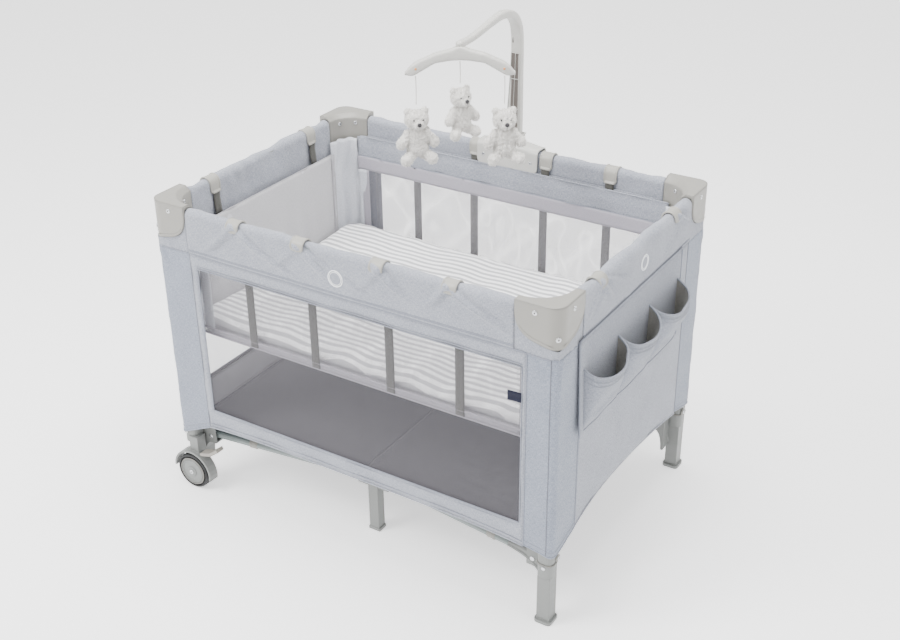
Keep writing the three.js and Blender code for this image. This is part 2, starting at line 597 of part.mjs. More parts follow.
const STRING_TOP = { side: 997, middle: 1030 };
for (const [name, along, toy, top] of [
  ['left', -STRING.at, SIDE_TOY, STRING_TOP.side],
  ['middle', 0, MIDDLE_TOY, STRING_TOP.middle],
  ['right', STRING.at, SIDE_TOY, STRING_TOP.side],
]) {
  add(`toy_string_${name}`, toyString(along, top - GAP, toy.top + GAP), THREAD);
  add(`plush_toy_${name}`, plushToy(along, toy), PLUSH);
}

export default yard;
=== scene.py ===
# Travel play yard: the visual pieces over the CAD frame.
# Metres, +X to the organizer end, +Y to the back, +Z up.
import json
import math

import bpy
import numpy as np
from mathutils import Matrix, Vector

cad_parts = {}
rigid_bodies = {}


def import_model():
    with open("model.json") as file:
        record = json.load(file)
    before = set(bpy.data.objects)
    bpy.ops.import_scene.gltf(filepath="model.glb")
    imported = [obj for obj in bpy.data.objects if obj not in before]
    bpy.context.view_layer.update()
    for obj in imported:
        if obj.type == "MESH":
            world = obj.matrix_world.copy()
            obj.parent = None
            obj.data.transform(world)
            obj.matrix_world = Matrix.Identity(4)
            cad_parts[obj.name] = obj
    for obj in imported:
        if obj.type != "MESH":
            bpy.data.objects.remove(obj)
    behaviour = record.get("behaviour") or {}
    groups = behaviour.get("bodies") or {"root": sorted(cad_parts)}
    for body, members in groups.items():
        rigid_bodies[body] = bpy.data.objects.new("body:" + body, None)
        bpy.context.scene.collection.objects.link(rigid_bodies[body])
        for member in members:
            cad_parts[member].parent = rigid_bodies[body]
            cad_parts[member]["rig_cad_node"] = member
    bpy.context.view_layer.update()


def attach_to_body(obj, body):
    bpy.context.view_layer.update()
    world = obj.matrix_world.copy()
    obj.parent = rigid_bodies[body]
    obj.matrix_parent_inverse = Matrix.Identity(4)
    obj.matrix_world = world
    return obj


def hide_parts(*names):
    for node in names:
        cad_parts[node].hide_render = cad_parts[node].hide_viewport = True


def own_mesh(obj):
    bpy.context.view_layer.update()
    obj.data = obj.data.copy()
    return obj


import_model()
scene = bpy.context.scene

# ---------------------------------------------------------------- dimensions
OUT_Y, OUT_X = 0.356, 0.508  # outer faces of the covers
LONG_HALF, SHORT_HALF = 0.4105, 0.2585  # half the length of a cover on the long and short sides
ROLL_Z, ROLL = 0.7385, 0.0135  # centre and radius of the band's rounded top
POST_X, POST_Y = 0.486, 0.334  # centres of the posts
CASTING_X, CASTING_Y = 0.511, 0.359  # outer faces of the castings
WHEEL_X, WHEEL_Y, WHEEL_Z = -0.478, 0.353, 0.046
WHEEL_FACE, WHEEL_TREAD = 0.0122, 0.0459  # how far its face is from its middle, and its radius
FOOT_COLLAR_Z, WEB_TOP, WEB_Y = 0.1575, 0.158, 0.3202
SEAM_Z, WINDOW_TOP, WINDOW_BOTTOM, HEM_Z = 0.650, 0.616, 0.247, 0.203  # heights on the covers
INNER_DROP, END_DROP = 0.703, 0.652  # lower edges of the covers inside, on long sides and ends
# places of the rail clips along each side
CLIPS_FRONT = (-0.277, -0.103, 0.095, 0.267)
CLIPS_BACK = (-0.278, -0.109, 0.086, 0.255)
CLIPS_SHORT = (-0.18, 0.18)
BIN_X, BIN_Y, BIN_ROUND = 0.4695, 0.3175, 0.056  # bassinet wall
BIN_TOP, BIN_BAND, BIN_BINDING, BIN_BOTTOM = 0.702, 0.650, 0.613, 0.431
BIN_WINDOW, BIN_PANEL, BIN_FLOOR, BIN_END = 0.405, 0.246, 0.4385, 0.667
MAST_X, MAST_Y = -0.001, 0.378  # foot of the mobile's mast
TUBE_Z = 0.136  # centres of the base tubes
WORLD_LIGHT, FLOOR_GLOW = 1.45, 0.9  # strengths of the studio's light and of its floor
HANGER = Vector((0.017, 0.092, 0.0))
HANGER_TURN = math.radians(31)
STRING_AT = {"left": -0.097, "middle": 0.0, "right": 0.097}
STRING_TOP = {"left": 0.997, "middle": 1.030, "right": 0.997}
TOY_TOP = {"left": 0.933, "middle": 0.981, "right": 0.933}
TOY_HEIGHT = {"left": 0.134, "middle": 0.122, "right": 0.134}
STRING_DIAMETER = 0.0024
CAMERA = {
    "lens": 51.01, "azimuth": 32.473, "elevation": 28.641, "roll": -0.718, "distance": 2.99885,
    "target": (0.022849, 0.029785, 0.423563),
}


# ---------------------------------------------------------------- camera
def make_camera():
    data = bpy.data.cameras.new("camera")
    data.sensor_width = 36
    data.lens = CAMERA["lens"]
    data.clip_start, data.clip_end = 0.05, 60
    cam = bpy.data.objects.new("camera", data)
    scene.collection.objects.link(cam)
    a, e, r = (math.radians(CAMERA[k]) for k in ("azimuth", "elevation", "roll"))
    back = Vector((math.sin(a) * math.cos(e), -math.cos(a) * math.cos(e), math.sin(e)))
    right = Vector((math.cos(a), math.sin(a), 0))
    up = back.cross(right)
    rolled_right = math.cos(r) * right + math.sin(r) * up
    rolled_up = math.cos(r) * up - math.sin(r) * right
    place = Vector(CAMERA["target"]) + CAMERA["distance"] * back
    cam.matrix_world = Matrix((
        (*(v[0] for v in (rolled_right, rolled_up, back)), place[0]),
        (*(v[1] for v in (rolled_right, rolled_up, back)), place[1]),
        (*(v[2] for v in (rolled_right, rolled_up, back)), place[2]),
        (0, 0, 0, 1)))
    scene.camera = cam


make_camera()


# ---------------------------------------------------------------- materials
FINE_GRAIN = 0.00005  # bump height of a moulding's grain


def srgb(r, g, b):
    return tuple(((c / 255 + 0.055) / 1.055) ** 2.4 for c in (r, g, b)) + (1.0,)


class Material:
    """A node material built step by step: each method adds one node and returns its output."""

    def __init__(self, name, roughness=0.6, metallic=0.0):
        self.material = bpy.data.materials.new(name)
        self.material.use_nodes = True
        self.tree = self.material.node_tree
        self.tree.nodes.clear()
        self.output = self.tree.nodes.new("ShaderNodeOutputMaterial")
        self.shader = self.tree.nodes.new("ShaderNodeBsdfPrincipled")
        self.tree.links.new(self.shader.outputs[0], self.output.inputs[0])
        self.shader.inputs["Roughness"].default_value = roughness
        self.shader.inputs["Metallic"].default_value = metallic

    def put(self, socket, value):
        if isinstance(value, bpy.types.NodeSocket):
            self.tree.links.new(value, socket)
        else:
            socket.default_value = value

    def set(self, name, value):
        self.put(self.shader.inputs[name], value)

    def node(self, kind, values=(), **settings):
        n = self.tree.nodes.new(kind)
        for k, v in settings.items():
            setattr(n, k, v)
        for k, v in dict(values).items():
            self.put(n.inputs[k], v)
        return n

    def math(self, operation, a, b=0.0):
        return self.node("ShaderNodeMath", {0: a, 1: b}, operation=operation).outputs[0]

    def place(self, source="UV"):
        if source == "UV":
            return self.node("ShaderNodeUVMap", uv_map="cloth").outputs[0]
        return self.node("ShaderNodeTexCoord").outputs["Object"]

    def stretch(self, vector, scale):
        return self.node("ShaderNodeMapping", {"Vector": vector, "Scale": scale}).outputs[0]

    def noise(self, vector, scale, detail=2.0, roughness=0.5):
        return self.node("ShaderNodeTexNoise", {
            "Vector": vector, "Scale": scale, "Detail": detail, "Roughness": roughness}).outputs[0]

    def remap(self, value, low, high, to_low=0.0, to_high=1.0):
        limits = {"From Min": low, "From Max": high, "To Min": to_low, "To Max": to_high}
        return self.node("ShaderNodeMapRange", {"Value": value, **limits}).outputs[0]

    def mix(self, factor, a, b):
        n = self.node("ShaderNodeMix", data_type="RGBA")
        self.put(n.inputs[0], factor)
        self.put(n.inputs[6], a)
        self.put(n.inputs[7], b)
        return n.outputs[2]

    def axes(self, vector):
        return self.node("ShaderNodeSeparateXYZ", {0: vector}).outputs

    def bump(self, height, distance, strength=1.0, normal=None):
        values = {"Height": height, "Distance": distance, "Strength": strength}
        if normal is not None:
            values["Normal"] = normal
        return self.node("ShaderNodeBump", values).outputs[0]

    def weave(self, vector, pitch):
        """Height of a plain weave, 0 to 1."""
        u, v = self.axes(vector)[:2]
        across = self.math("SINE", self.math("MULTIPLY", u, math.tau / pitch))
        along = self.math("SINE", self.math("MULTIPLY", v, math.tau / pitch))
        return self.remap(self.math("MULTIPLY", across, along), -1, 1)


def heather(name, light, dark, pitch=0.0014, contrast=0.5, sheen=0.25, lump=0.03, bump=0.7):
    m = Material(name, roughness=0.92)
    uv = m.place()
    weft = m.noise(m.stretch(uv, (130, 1300, 1)), 1.0, 3)
    warp = m.noise(m.stretch(uv, (1300, 130, 1)), 1.0, 3)
    broad = m.noise(uv, 14.0, 3)
    streaks = m.math("ADD", m.math("MULTIPLY", weft, 0.55), m.math("MULTIPLY", warp, 0.45))
    streaks = m.math("ADD", streaks, m.math("MULTIPLY", m.math("SUBTRACT", broad, 0.5), lump * 4))
    mottle = m.noise(m.stretch(uv, (700, 260, 1)), 1.0, 3, 0.6)
    streaks = m.math("ADD", streaks, m.math("MULTIPLY", m.math("SUBTRACT", mottle, 0.5), 0.4))
    fibre = m.remap(streaks, 0.5 - contrast / 4, 0.5 + contrast / 4)
    m.set("Base Color", m.mix(fibre, dark, light))
    weave = m.weave(uv, pitch)
    m.set("Normal", m.bump(m.math("ADD", weave, m.math("MULTIPLY", streaks, 0.8)), 0.00035, bump))
    m.set("Sheen Weight", sheen)
    m.set("Sheen Roughness", 0.5)
    return m.material


def netting(name, colour, thread, pitch=0.0023):
    m = Material(name, roughness=0.8)
    uv = m.place()
    u, v = m.axes(uv)[:2]

    def lines(angle_sum):
        wave = m.math("SINE", m.math("MULTIPLY", angle_sum, math.pi / pitch))
        return m.math("ABSOLUTE", wave)

    near = m.math("MINIMUM", lines(m.math("ADD", u, v)), lines(m.math("SUBTRACT", u, v)))
    m.set("Alpha", m.math("LESS_THAN", near, thread))
    tone = m.remap(m.noise(uv, 9.0, 2), 0.3, 0.7)
    m.set("Base Color", m.mix(tone, tuple(c * 0.96 for c in colour[:3]) + (1,), colour))
    m.set("Sheen Weight", 0.2)
    return m.material


def moulded(name, colour, roughness=0.42, bevel=0.0022):
    m = Material(name, roughness=roughness)
    where = m.place("Object")
    fine = m.noise(where, 2400.0, 2)
    broad = m.noise(where, 18.0, 3)
    m.set("Base Color", m.mix(m.remap(broad, 0.3, 0.7), tuple(c * 0.965 for c in colour[:3]) + (1,), colour))
    m.set("Roughness", m.remap(m.noise(where, 60.0, 3), 0.3, 0.7, roughness - 0.04, roughness + 0.07))
    soft = m.node("ShaderNodeBevel", {"Radius": bevel}, samples=6).outputs[0]
    m.set("Normal", m.bump(fine, FINE_GRAIN, 0.5, soft))
    return m.material


def painted_steel(name, colour):
    m = Material(name, roughness=0.34)
    where = m.place("Object")
    m.set("Base Color", m.mix(m.remap(m.noise(where, 40.0, 4), 0.25, 0.75),
                              tuple(c * 0.93 for c in colour[:3]) + (1,), colour))
    m.set("Roughness", m.remap(m.noise(where, 300.0, 3), 0.3, 0.7, 0.28, 0.42))
    m.set("Normal", m.bump(m.noise(where, 1500.0, 2), 0.00004, 0.5,
                           m.node("ShaderNodeBevel", {"Radius": 0.0012}, samples=4).outputs[0]))
    m.set("Coat Weight", 0.3)
    return m.material


def steel(name):
    colour = (0.62, 0.63, 0.64, 1)
    m = Material(name, roughness=0.25, metallic=1.0)
    where = m.place("Object")
    m.set("Base Color", m.mix(m.noise(where, 300.0, 3), tuple(c * 0.8 for c in colour[:3]) + (1,), colour))
    m.set("Roughness", m.remap(m.noise(where, 900.0, 2), 0.3, 0.7, 0.18, 0.36))
    return m.material


def webbing(name, colour, pitch=0.0021):
    m = Material(name, roughness=0.88)
    uv = m.place()
    u, v = m.axes(uv)[:2]
    twill = m.math("SINE", m.math("MULTIPLY", m.math("ADD", u, m.math("MULTIPLY", v, 0.6)), math.tau / pitch))
    fibre = m.noise(m.stretch(uv, (1600, 220, 1)), 1.0, 2)
    height = m.math("ADD", m.remap(twill, -1, 1), fibre)
    m.set("Base Color", m.mix(m.remap(height, 0.5, 1.5), tuple(c * 0.82 for c in colour[:3]) + (1,), colour))
    m.set("Normal", m.bump(height, 0.0003, 0.8))
    m.set("Sheen Weight", 0.15)
    return m.material


def striped_sheet(name, light, dark, pitch=0.0196):
    m = Material(name, roughness=0.95)
    where = m.place("Object")
    x, y = m.axes(where)[:2]
    drift = m.noise(m.stretch(where, (6.5, 3.4, 3.4)), 1.0, 1.5)
    y = m.math("ADD", y, m.math("MULTIPLY", m.math("SUBTRACT", drift, 0.5), 0.046))
    stripe = m.math("SINE", m.math("MULTIPLY", y, math.tau / pitch))
    edge = m.remap(m.math("ADD", stripe, m.math("MULTIPLY", m.noise(where, 260.0, 2), 0.2)), 0.0, 0.34)
    m.set("Base Color", m.mix(edge, light, dark))
    knit = m.math("SINE", m.math("MULTIPLY", x, math.tau / 0.0016))
    height = m.math("ADD", m.noise(where, 1100.0, 2), m.math("MULTIPLY", knit, 0.3))
    m.set("Normal", m.bump(height, 0.0003, 0.6))
    m.set("Sheen Weight", 0.3)
    return m.material


def plain_cloth(name, colour, shade=0.93, grain=900.0):
    m = Material(name, roughness=0.93)
    where = m.place("Object")
    tone = m.remap(m.noise(where, grain, 3), 0.3, 0.7)
    m.set("Base Color", m.mix(tone, tuple(c * shade for c in colour[:3]) + (1,), colour))
    m.set("Normal", m.bump(m.noise(where, grain * 1.6, 2), 0.0003, 0.6))
    m.set("Sheen Weight", 0.25)
    return m.material


def rubber(name, colour):
    m = Material(name, roughness=0.62)
    where = m.place("Object")
    m.set("Base Color", m.mix(m.remap(m.noise(where, 90.0, 4), 0.35, 0.7),
                              colour, tuple(min(1, c * 1.8 + 0.01) for c in colour[:3]) + (1,)))
    m.set("Normal", m.bump(m.noise(where, 1400.0, 3), 0.0001, 0.7,
                           m.node("ShaderNodeBevel", {"Radius": 0.0015}, samples=4).outputs[0]))
    return m.material


def glossy(name, colour, roughness=0.12):
    m = Material(name, roughness=roughness)
    where = m.place("Object")
    m.set("Base Color", m.mix(m.noise(where, 200.0, 2), colour, tuple(c * 1.3 for c in colour[:3]) + (1,)))
    m.set("Coat Weight", 0.6)
    return m.material


HEATHER = heather("heather cover", srgb(166, 169, 178), srgb(119, 123, 134))
SLEEVE = heather("heather sleeve", srgb(152, 158, 171), srgb(106, 113, 128))
POCKET = heather("heather pocket", srgb(152, 156, 166), srgb(109, 113, 124))
POCKET_LINING = heather("pocket lining", srgb(150, 148, 142), srgb(124, 122, 117))
LINING = heather("grey lining", srgb(172, 170, 174), srgb(150, 148, 153), contrast=0.8)
BINDING = heather("mauve binding", srgb(170, 166, 175), srgb(150, 146, 156), contrast=0.9, pitch=0.001)
BIN_CLOTH = heather("bassinet cloth", srgb(214, 213, 217), srgb(190, 190, 197), contrast=0.7)
PLEATED = heather("pleated corner", srgb(214, 216, 222), srgb(184, 187, 195))
END_MESH = heather("end panel", srgb(199, 198, 200), srgb(168, 167, 170), contrast=0.9, pitch=0.0018)
FLOOR_CLOTH = heather("floor cloth", srgb(86, 84, 88), srgb(76, 74, 78), contrast=1.6, sheen=0.05, lump=0.01,
                      bump=0.15)
FLOOR_EDGE = heather("floor edge", srgb(82, 79, 85), srgb(68, 66, 71), contrast=0.9, pitch=0.001)
PIPING = heather("piping", srgb(146, 150, 161), srgb(118, 122, 135), contrast=0.8, pitch=0.0009)
DARK_PIPING = heather("dark piping", srgb(112, 115, 126), srgb(88, 91, 102), contrast=0.8, pitch=0.0009)
NETTING = netting("netting", srgb(112, 110, 116), thread=0.24)
BIN_NETTING = netting("bassinet netting", srgb(160, 158, 164), thread=0.26)
WEBBING = webbing("webbing", srgb(74, 73, 68))
WHITE_TAPE = webbing("white tape", srgb(228, 230, 234))
MOULDED = moulded("grey moulding", srgb(121, 123, 121))
CASTING = moulded("casting moulding", srgb(139, 137, 131), roughness=0.36, bevel=0.0080)
DARKER = moulded("brake moulding", srgb(142, 138, 130))
PALE = moulded("pale moulding", srgb(186, 185, 180), roughness=0.34)
CLIP = moulded("clip moulding", srgb(156, 154, 147), roughness=0.4, bevel=0.0012)
# painted shade: a dark tone standing for shade in the mast's shallow channel
RECESS_SHADE = moulded("recess moulding", srgb(88, 82, 77))
TUBE = painted_steel("tube paint", srgb(118, 127, 126))
STEEL = steel("screw steel")
TREAD = rubber("tread", srgb(20, 20, 21))
SHEET = striped_sheet("striped sheet", srgb(252, 252, 253), srgb(176, 176, 179))
PLUSH = plain_cloth("plush", srgb(232, 229, 224), shade=0.76, grain=500.0)
FUR = plain_cloth("plush pile", srgb(248, 246, 242), shade=0.84, grain=700.0)
BLACK = glossy("nose and eyes", srgb(30, 28, 32))
THREAD = webbing("thread", srgb(226, 224, 218), pitch=0.0016)
STITCH = plain_cloth("stitching", srgb(250, 251, 253), shade=0.98)
NAVY = heather("navy tab", srgb(12, 17, 44), srgb(8, 11, 30), contrast=0.8, sheen=0.01)
ORANGE = glossy("orange peg", srgb(198, 128, 66), roughness=0.4)


# ---------------------------------------------------------------- mesh building
class Build:
    """Gathers grids and tubes into one object with UVs in metres and a material per part."""

    def __init__(self, name):
        self.name, self.verts, self.faces, self.uvs, self.slots, self.materials = name, [], [], [], [], []

    def slot(self, material):
        if material not in self.materials:
            self.materials.append(material)
        return self.materials.index(material)

    def grid(self, points, material, closed=False, keep=None):
        """points is an array (n, m, 3); closed joins the last row to the first."""
        p = np.asarray(points, float)
        n, m = p.shape[:2]
        du = np.linalg.norm(np.diff(p, axis=0), axis=2).mean(axis=1)
        dv = np.linalg.norm(np.diff(p, axis=1), axis=2).mean(axis=0)
        step = np.linalg.norm(p[0] - p[-1], axis=1).mean()
        u = np.concatenate([[0], np.cumsum(du), [du.sum() + step]])
        v = np.concatenate([[0], np.cumsum(dv)])
        base, slot = len(self.verts), self.slot(material)
        self.verts.extend(map(tuple, p.reshape(-1, 3)))
        for i in range(n if closed else n - 1):
            j = (i + 1) % n
            for k in range(m - 1):
                if keep is not None and not keep(i, k):
                    continue
                here, there = base + i * m + k, base + j * m + k
                self.faces.append([here, there, there + 1, here + 1])
                self.uvs.append([(u[i], v[k]), (u[i + 1], v[k]), (u[i + 1], v[k + 1]), (u[i], v[k + 1])])
                self.slots.append(slot)
        return self

    def tube(self, path, radius, material, sides=8, closed=False):
        p = np.asarray(path, float)
        n = len(p)
        ahead = np.roll(p, -1, axis=0) - np.roll(p, 1, axis=0)
        if not closed:
            ahead[0], ahead[-1] = p[1] - p[0], p[-1] - p[-2]
        ahead /= np.linalg.norm(ahead, axis=1)[:, None]
        side = np.cross(ahead[0], (0, 0, 1) if abs(ahead[0][2]) < 0.9 else (1, 0, 0))
        rings = []
        for i in range(n):
            side = side - ahead[i] * side.dot(ahead[i])
            side /= np.linalg.norm(side)
            other = np.cross(ahead[i], side)
            r = radius[i] if hasattr(radius, "__len__") else radius
            a = np.linspace(0, math.tau, sides, endpoint=False)
            rings.append(p[i] + r * (np.cos(a)[:, None] * side + np.sin(a)[:, None] * other))
        rings = np.array(rings)
        ring_grid = np.concatenate([rings, rings[:, :1]], axis=1)
        base = len(self.verts)
        self.grid(ring_grid[:, ::-1], material, closed=closed)
        if not closed:
            slot, m = self.slot(material), sides + 1
            for start, flip in ((base, True), (base + (n - 1) * m, False)):
                face = [start + k for k in range(sides)]
                self.faces.append(face if flip else face[::-1])
                self.uvs.append([(0, 0)] * sides)
                self.slots.append(slot)
        return self

    def disc(self, centre, axis, radius, depth, material, dome=0.35, sides=24):
        """A round button with a domed face: its back is at centre."""
        axis = Vector(axis).normalized()
        side = axis.orthogonal().normalized()
        other = axis.cross(side)
        profile = [(1.0, 0.0), (1.0, 0.55), (0.94, 0.72)] + [
            (r, 0.72 + dome * (1 - r * r)) for r in (0.8, 0.6, 0.35, 0.12, 0.001)]
        a = np.linspace(0, math.tau, sides + 1)
        centre = Vector(centre)
        spokes = [math.cos(t) * side + math.sin(t) * other for t in a]
        rows = [[tuple(centre + axis * depth * h + radius * r * spoke) for spoke in spokes]
                for r, h in profile]
        return self.grid(np.array(rows)[:, ::-1], material)

    def make(self, body=None, slot=None, thickness=0.0, replaces=()):
        mesh = bpy.data.meshes.new(self.name)
        mesh.from_pydata(self.verts, [], self.faces)
        for m in self.materials:
            mesh.materials.append(m)
        mesh.polygons.foreach_set("material_index", self.slots)
        layer = mesh.uv_layers.new(name="cloth")
        layer.data.foreach_set("uv", [c for face in self.uvs for uv in face for c in uv])
        mesh.polygons.foreach_set("use_smooth", [True] * len(self.faces))
        mesh.update()
        obj = bpy.data.objects.new(self.name, mesh)
        scene.collection.objects.link(obj)
        modifier(obj, "WELD", merge_threshold=1e-5)
        if thickness:
            modifier(obj, "SOLIDIFY", thickness=thickness, offset=0)
        settle(obj)
        return attach(obj, body, replaces)


def modifier(obj, kind, **settings):
    mod = obj.modifiers.new(kind.lower(), kind)
    for k, v in settings.items():
        setattr(mod, k, v)
    return mod


def settle(obj):
    """Applies the object's modifiers."""
    if not obj.modifiers:
        return obj
    graph = bpy.context.evaluated_depsgraph_get()
    ready = obj.evaluated_get(graph)
    mesh = bpy.data.meshes.new_from_object(ready, preserve_all_data_layers=True, depsgraph=graph)
    obj.modifiers.clear()
    old, obj.data = obj.data, mesh
    mesh.name = obj.name
    bpy.data.meshes.remove(old)
    return obj


def attach(obj, body, replaces=()):
    if body:
        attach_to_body(obj, body)
    if replaces:
        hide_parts(*replaces)
    return obj


def ripple(u, v, seed, size, amount, lean=(1.0, 1.0)):
    """Smooth random waves over two coordinates in metres, about `size` long and `amount` high."""
    r = np.random.default_rng(seed)
    total = np.zeros(np.broadcast(u, v).shape)
    for _ in range(8):
        heading, per_metre = r.uniform(0, math.tau), r.uniform(0.6, 1.7) / size
        phase, weight = r.uniform(0, math.tau), r.uniform(0.4, 1)
        along = u * math.cos(heading) * lean[0] + v * math.sin(heading) * lean[1]
        total = total + weight * np.sin(math.tau * per_metre * along + phase)
    return total * amount / 3.0


def hump(t, centre, width):
    return np.exp(-(((t - centre) / width) ** 2))


def arc(f, power):
    """0 at both ends of 0..1 and 1 in the middle."""
    return np.clip(np.sin(np.pi * np.clip(f, 0, 1)), 0, 1) ** power


def smoothstep(x, low, high):
    t = np.clip((x - low) / (high - low), 0, 1)
    return t * t * (3 - 2 * t)


# ---------------------------------------------------------------- mobile strings
def hanger_point(along, z):
    return Vector((HANGER.x + along * math.cos(HANGER_TURN), HANGER.y + along * math.sin(HANGER_TURN), z))


def make_strings():
    for side, along in STRING_AT.items():
        top, bottom = STRING_TOP[side], TOY_TOP[side]
        data = bpy.data.curves.new(f"string_{side}", "CURVE")
        data.dimensions = "3D"
        data.bevel_depth = STRING_DIAMETER / 2
        data.bevel_resolution = 3
        data.use_fill_caps = True
        line = data.splines.new("POLY")
        count = 16
        line.points.add(count - 1)
        for i in range(count):
            f = i / (count - 1)
            sway = 0.0006 * math.sin(math.pi * f)
            p = hanger_point(along + sway, top + (bottom - top) * f)
            line.points[i].co = (*p, 1)
        data.materials.append(THREAD)
        obj = bpy.data.objects.new(f"mobile_string_{side}", data)
        scene.collection.objects.link(obj)
        attach(obj, f"toy_{side}", [f"toy_string_{side}"])


make_strings()

# ---------------------------------------------------------------- sewn covers
SIDES = {
    "front": {"half": LONG_HALF, "out": OUT_Y, "clips": CLIPS_FRONT, "drop": INNER_DROP},
    "back": {"half": LONG_HALF, "out": OUT_Y, "clips": CLIPS_BACK, "drop": INNER_DROP},
    "left": {"half": SHORT_HALF, "out": OUT_X, "clips": CLIPS_SHORT, "drop": END_DROP},
    "right": {"half": SHORT_HALF, "out": OUT_X, "clips": CLIPS_SHORT, "drop": END_DROP},
}
# the walls' ends and the windows' ends along each side
WALLS = {
    "front": (-LONG_HALF, 0.439, -0.391, 0.430),
    "back": (-LONG_HALF, LONG_HALF, -0.395, 0.395),
    "left": (-SHORT_HALF, SHORT_HALF, -0.2485, 0.2485),
}
# the leg each cover goes with as the frame folds, the axis it gathers along, and where that gathers to
COVER_FOLD = {
    "front": ("leg_front_left", (1, 0, 0), (-0.412, 0, 0), 0.074),
    "back": ("leg_back_right", (1, 0, 0), (0.412, 0, 0), 0.074),
    "left": ("leg_back_left", (0, 1, 0), (0, 0.260, 0), 0.059),
    "right": ("leg_front_right", (0, 1, 0), (0, -0.260, 0), 0.059),
}


def place(side, t, out, z):
    """Points on one side of the yard: t along it, out from the centre, z up."""
    t, out, z = np.broadcast_arrays(np.asarray(t, float), out, z)
    if side == "front":
        return np.stack([t, -out, z], axis=-1)
    if side == "back":
        return np.stack([-t, out, z], axis=-1)
    if side == "left":
        return np.stack([-out, -t, z], axis=-1)
    return np.stack([out, t, z], axis=-1)


def gather(obj, side):
    """Attaches a cover piece to its leg, so it moves with the leg as the frame folds, and gives it its own
    mesh.
    """
    body, axis, anchor, keep = COVER_FOLD[side]
    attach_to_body(obj, body)
    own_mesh(obj)
    return obj


def roll_profile(drop):
    """The band's section from its seam, over the rail and down inside: offset inwards and z."""
    up = [(0.0, SEAM_Z + (ROLL_Z - SEAM_Z) * i / 8) for i in range(8)]
    over = [(ROLL - ROLL * math.cos(a), ROLL_Z + ROLL * math.sin(a)) for a in np.linspace(0, math.pi, 14)]
    down = [(2 * ROLL, ROLL_Z + (drop - ROLL_Z) * i / 4) for i in range(1, 5)]
    return np.array(up + over + down)


# stitched rings: place along the side, height up the band from its seam, radius
RINGS = {"front": (-0.007, 0.042, 0.0178), "right": (0.016, 0.052, 0.0165)}


def band_points(side, t, s, seed, off=0.0):
    """Points on the padded band at t along the side and s up its section from the seam."""
    profile = roll_profile(SIDES[side]["drop"])
    along = np.concatenate([[0], np.cumsum(np.linalg.norm(np.diff(profile, axis=0), axis=1))])
    inward, z = np.interp(s, along, profile[:, 0]), np.interp(s, along, profile[:, 1])
    length = along[-1]
    free = arc(s / length, 0.6)
    lift = 0.0020 * arc(s / 0.1, 1.0)
    lift = lift + free * (ripple(t, s, seed, 0.15, 0.0030, (1, 1.5)) + ripple(t, s, seed + 1, 0.05, 0.0009))
    half = LONG_HALF if side in ("front", "back") else SHORT_HALF
    for number, c in enumerate(SIDES[side]["clips"]):
        # pulled in under the clip, with soft pleats running out of it down the band
        lift = lift - 0.0024 * hump(t, c, 0.028) * smoothstep(s, 0.045, 0.09)
        r = np.random.default_rng(seed * 10 + number)
        for k in range(3):
            lean = r.uniform(0.5, 2.3) * (1 if k < 2 else -0.6)
            start, reach_low = r.uniform(-0.012, 0.014), r.uniform(0.004, 0.035)
            line = t - c - start - lean * (0.092 - s) - 6 * (0.092 - s) ** 2 * (1 if k < 2 else -1)
            reach = smoothstep(s, reach_low, reach_low + 0.035) * (1 - smoothstep(s, 0.086, 0.108))
            high, wide = r.uniform(0.0034, 0.0062), r.uniform(0.008, 0.014)
            lift = lift + reach * high * (hump(line, 0.0, wide) - 0.6 * hump(line, wide * 1.5, wide))
    if side in RINGS:
        ring_t, ring_s, ring_radius = RINGS[side]
        lift = lift * smoothstep(np.hypot(t - ring_t, s - ring_s), ring_radius, ring_radius * 2.2)
    lift = lift * smoothstep(half - np.abs(t), 0.0, 0.03) + off
    normal_in = np.where(z < ROLL_Z, np.where(inward > ROLL, 1.0, -1.0), (inward - ROLL) / ROLL)
    normal_z = np.where(z < ROLL_Z, 0.0, (z - ROLL_Z) / ROLL)
    return place(side, t, SIDES[side]["out"] - (inward + lift * normal_in), z + lift * normal_z)


def band(build, side, seed):
    profile = roll_profile(SIDES[side]["drop"])
    along = np.concatenate([[0], np.cumsum(np.linalg.norm(np.diff(profile, axis=0), axis=1))])
    half = SIDES[side]["half"]
    t = np.linspace(-half, half, int(half * 2 / 0.0045) + 1)
    rows = np.unique(np.concatenate([np.linspace(0, along[-1], 42), along]))
    rows = rows[np.concatenate([[True], np.diff(rows) > 0.0006])]
    tt, ss = np.meshgrid(t, rows, indexing="ij")
    build.grid(band_points(side, tt, ss, seed), HEATHER)
    for s in (0.0065, 0.0095):
        build.tube(band_points(side, t, np.full_like(t, s), seed, 0.0007), 0.00035, PIPING, sides=5)


def frame_lines(low, high, step, marks):
    """Grid lines that include the marks."""
    lines = [low, *marks, high]
    out = []
    for a, b in zip(lines, lines[1:]):
        n = max(1, int(round((b - a) / step)))
        out += list(np.linspace(a, b, n, endpoint=False))
    return np.array(out + [high])


def hem_line(t, half, rise=0.0):
    return HEM_Z - 0.010 * np.abs(t / half) ** 4 + rise


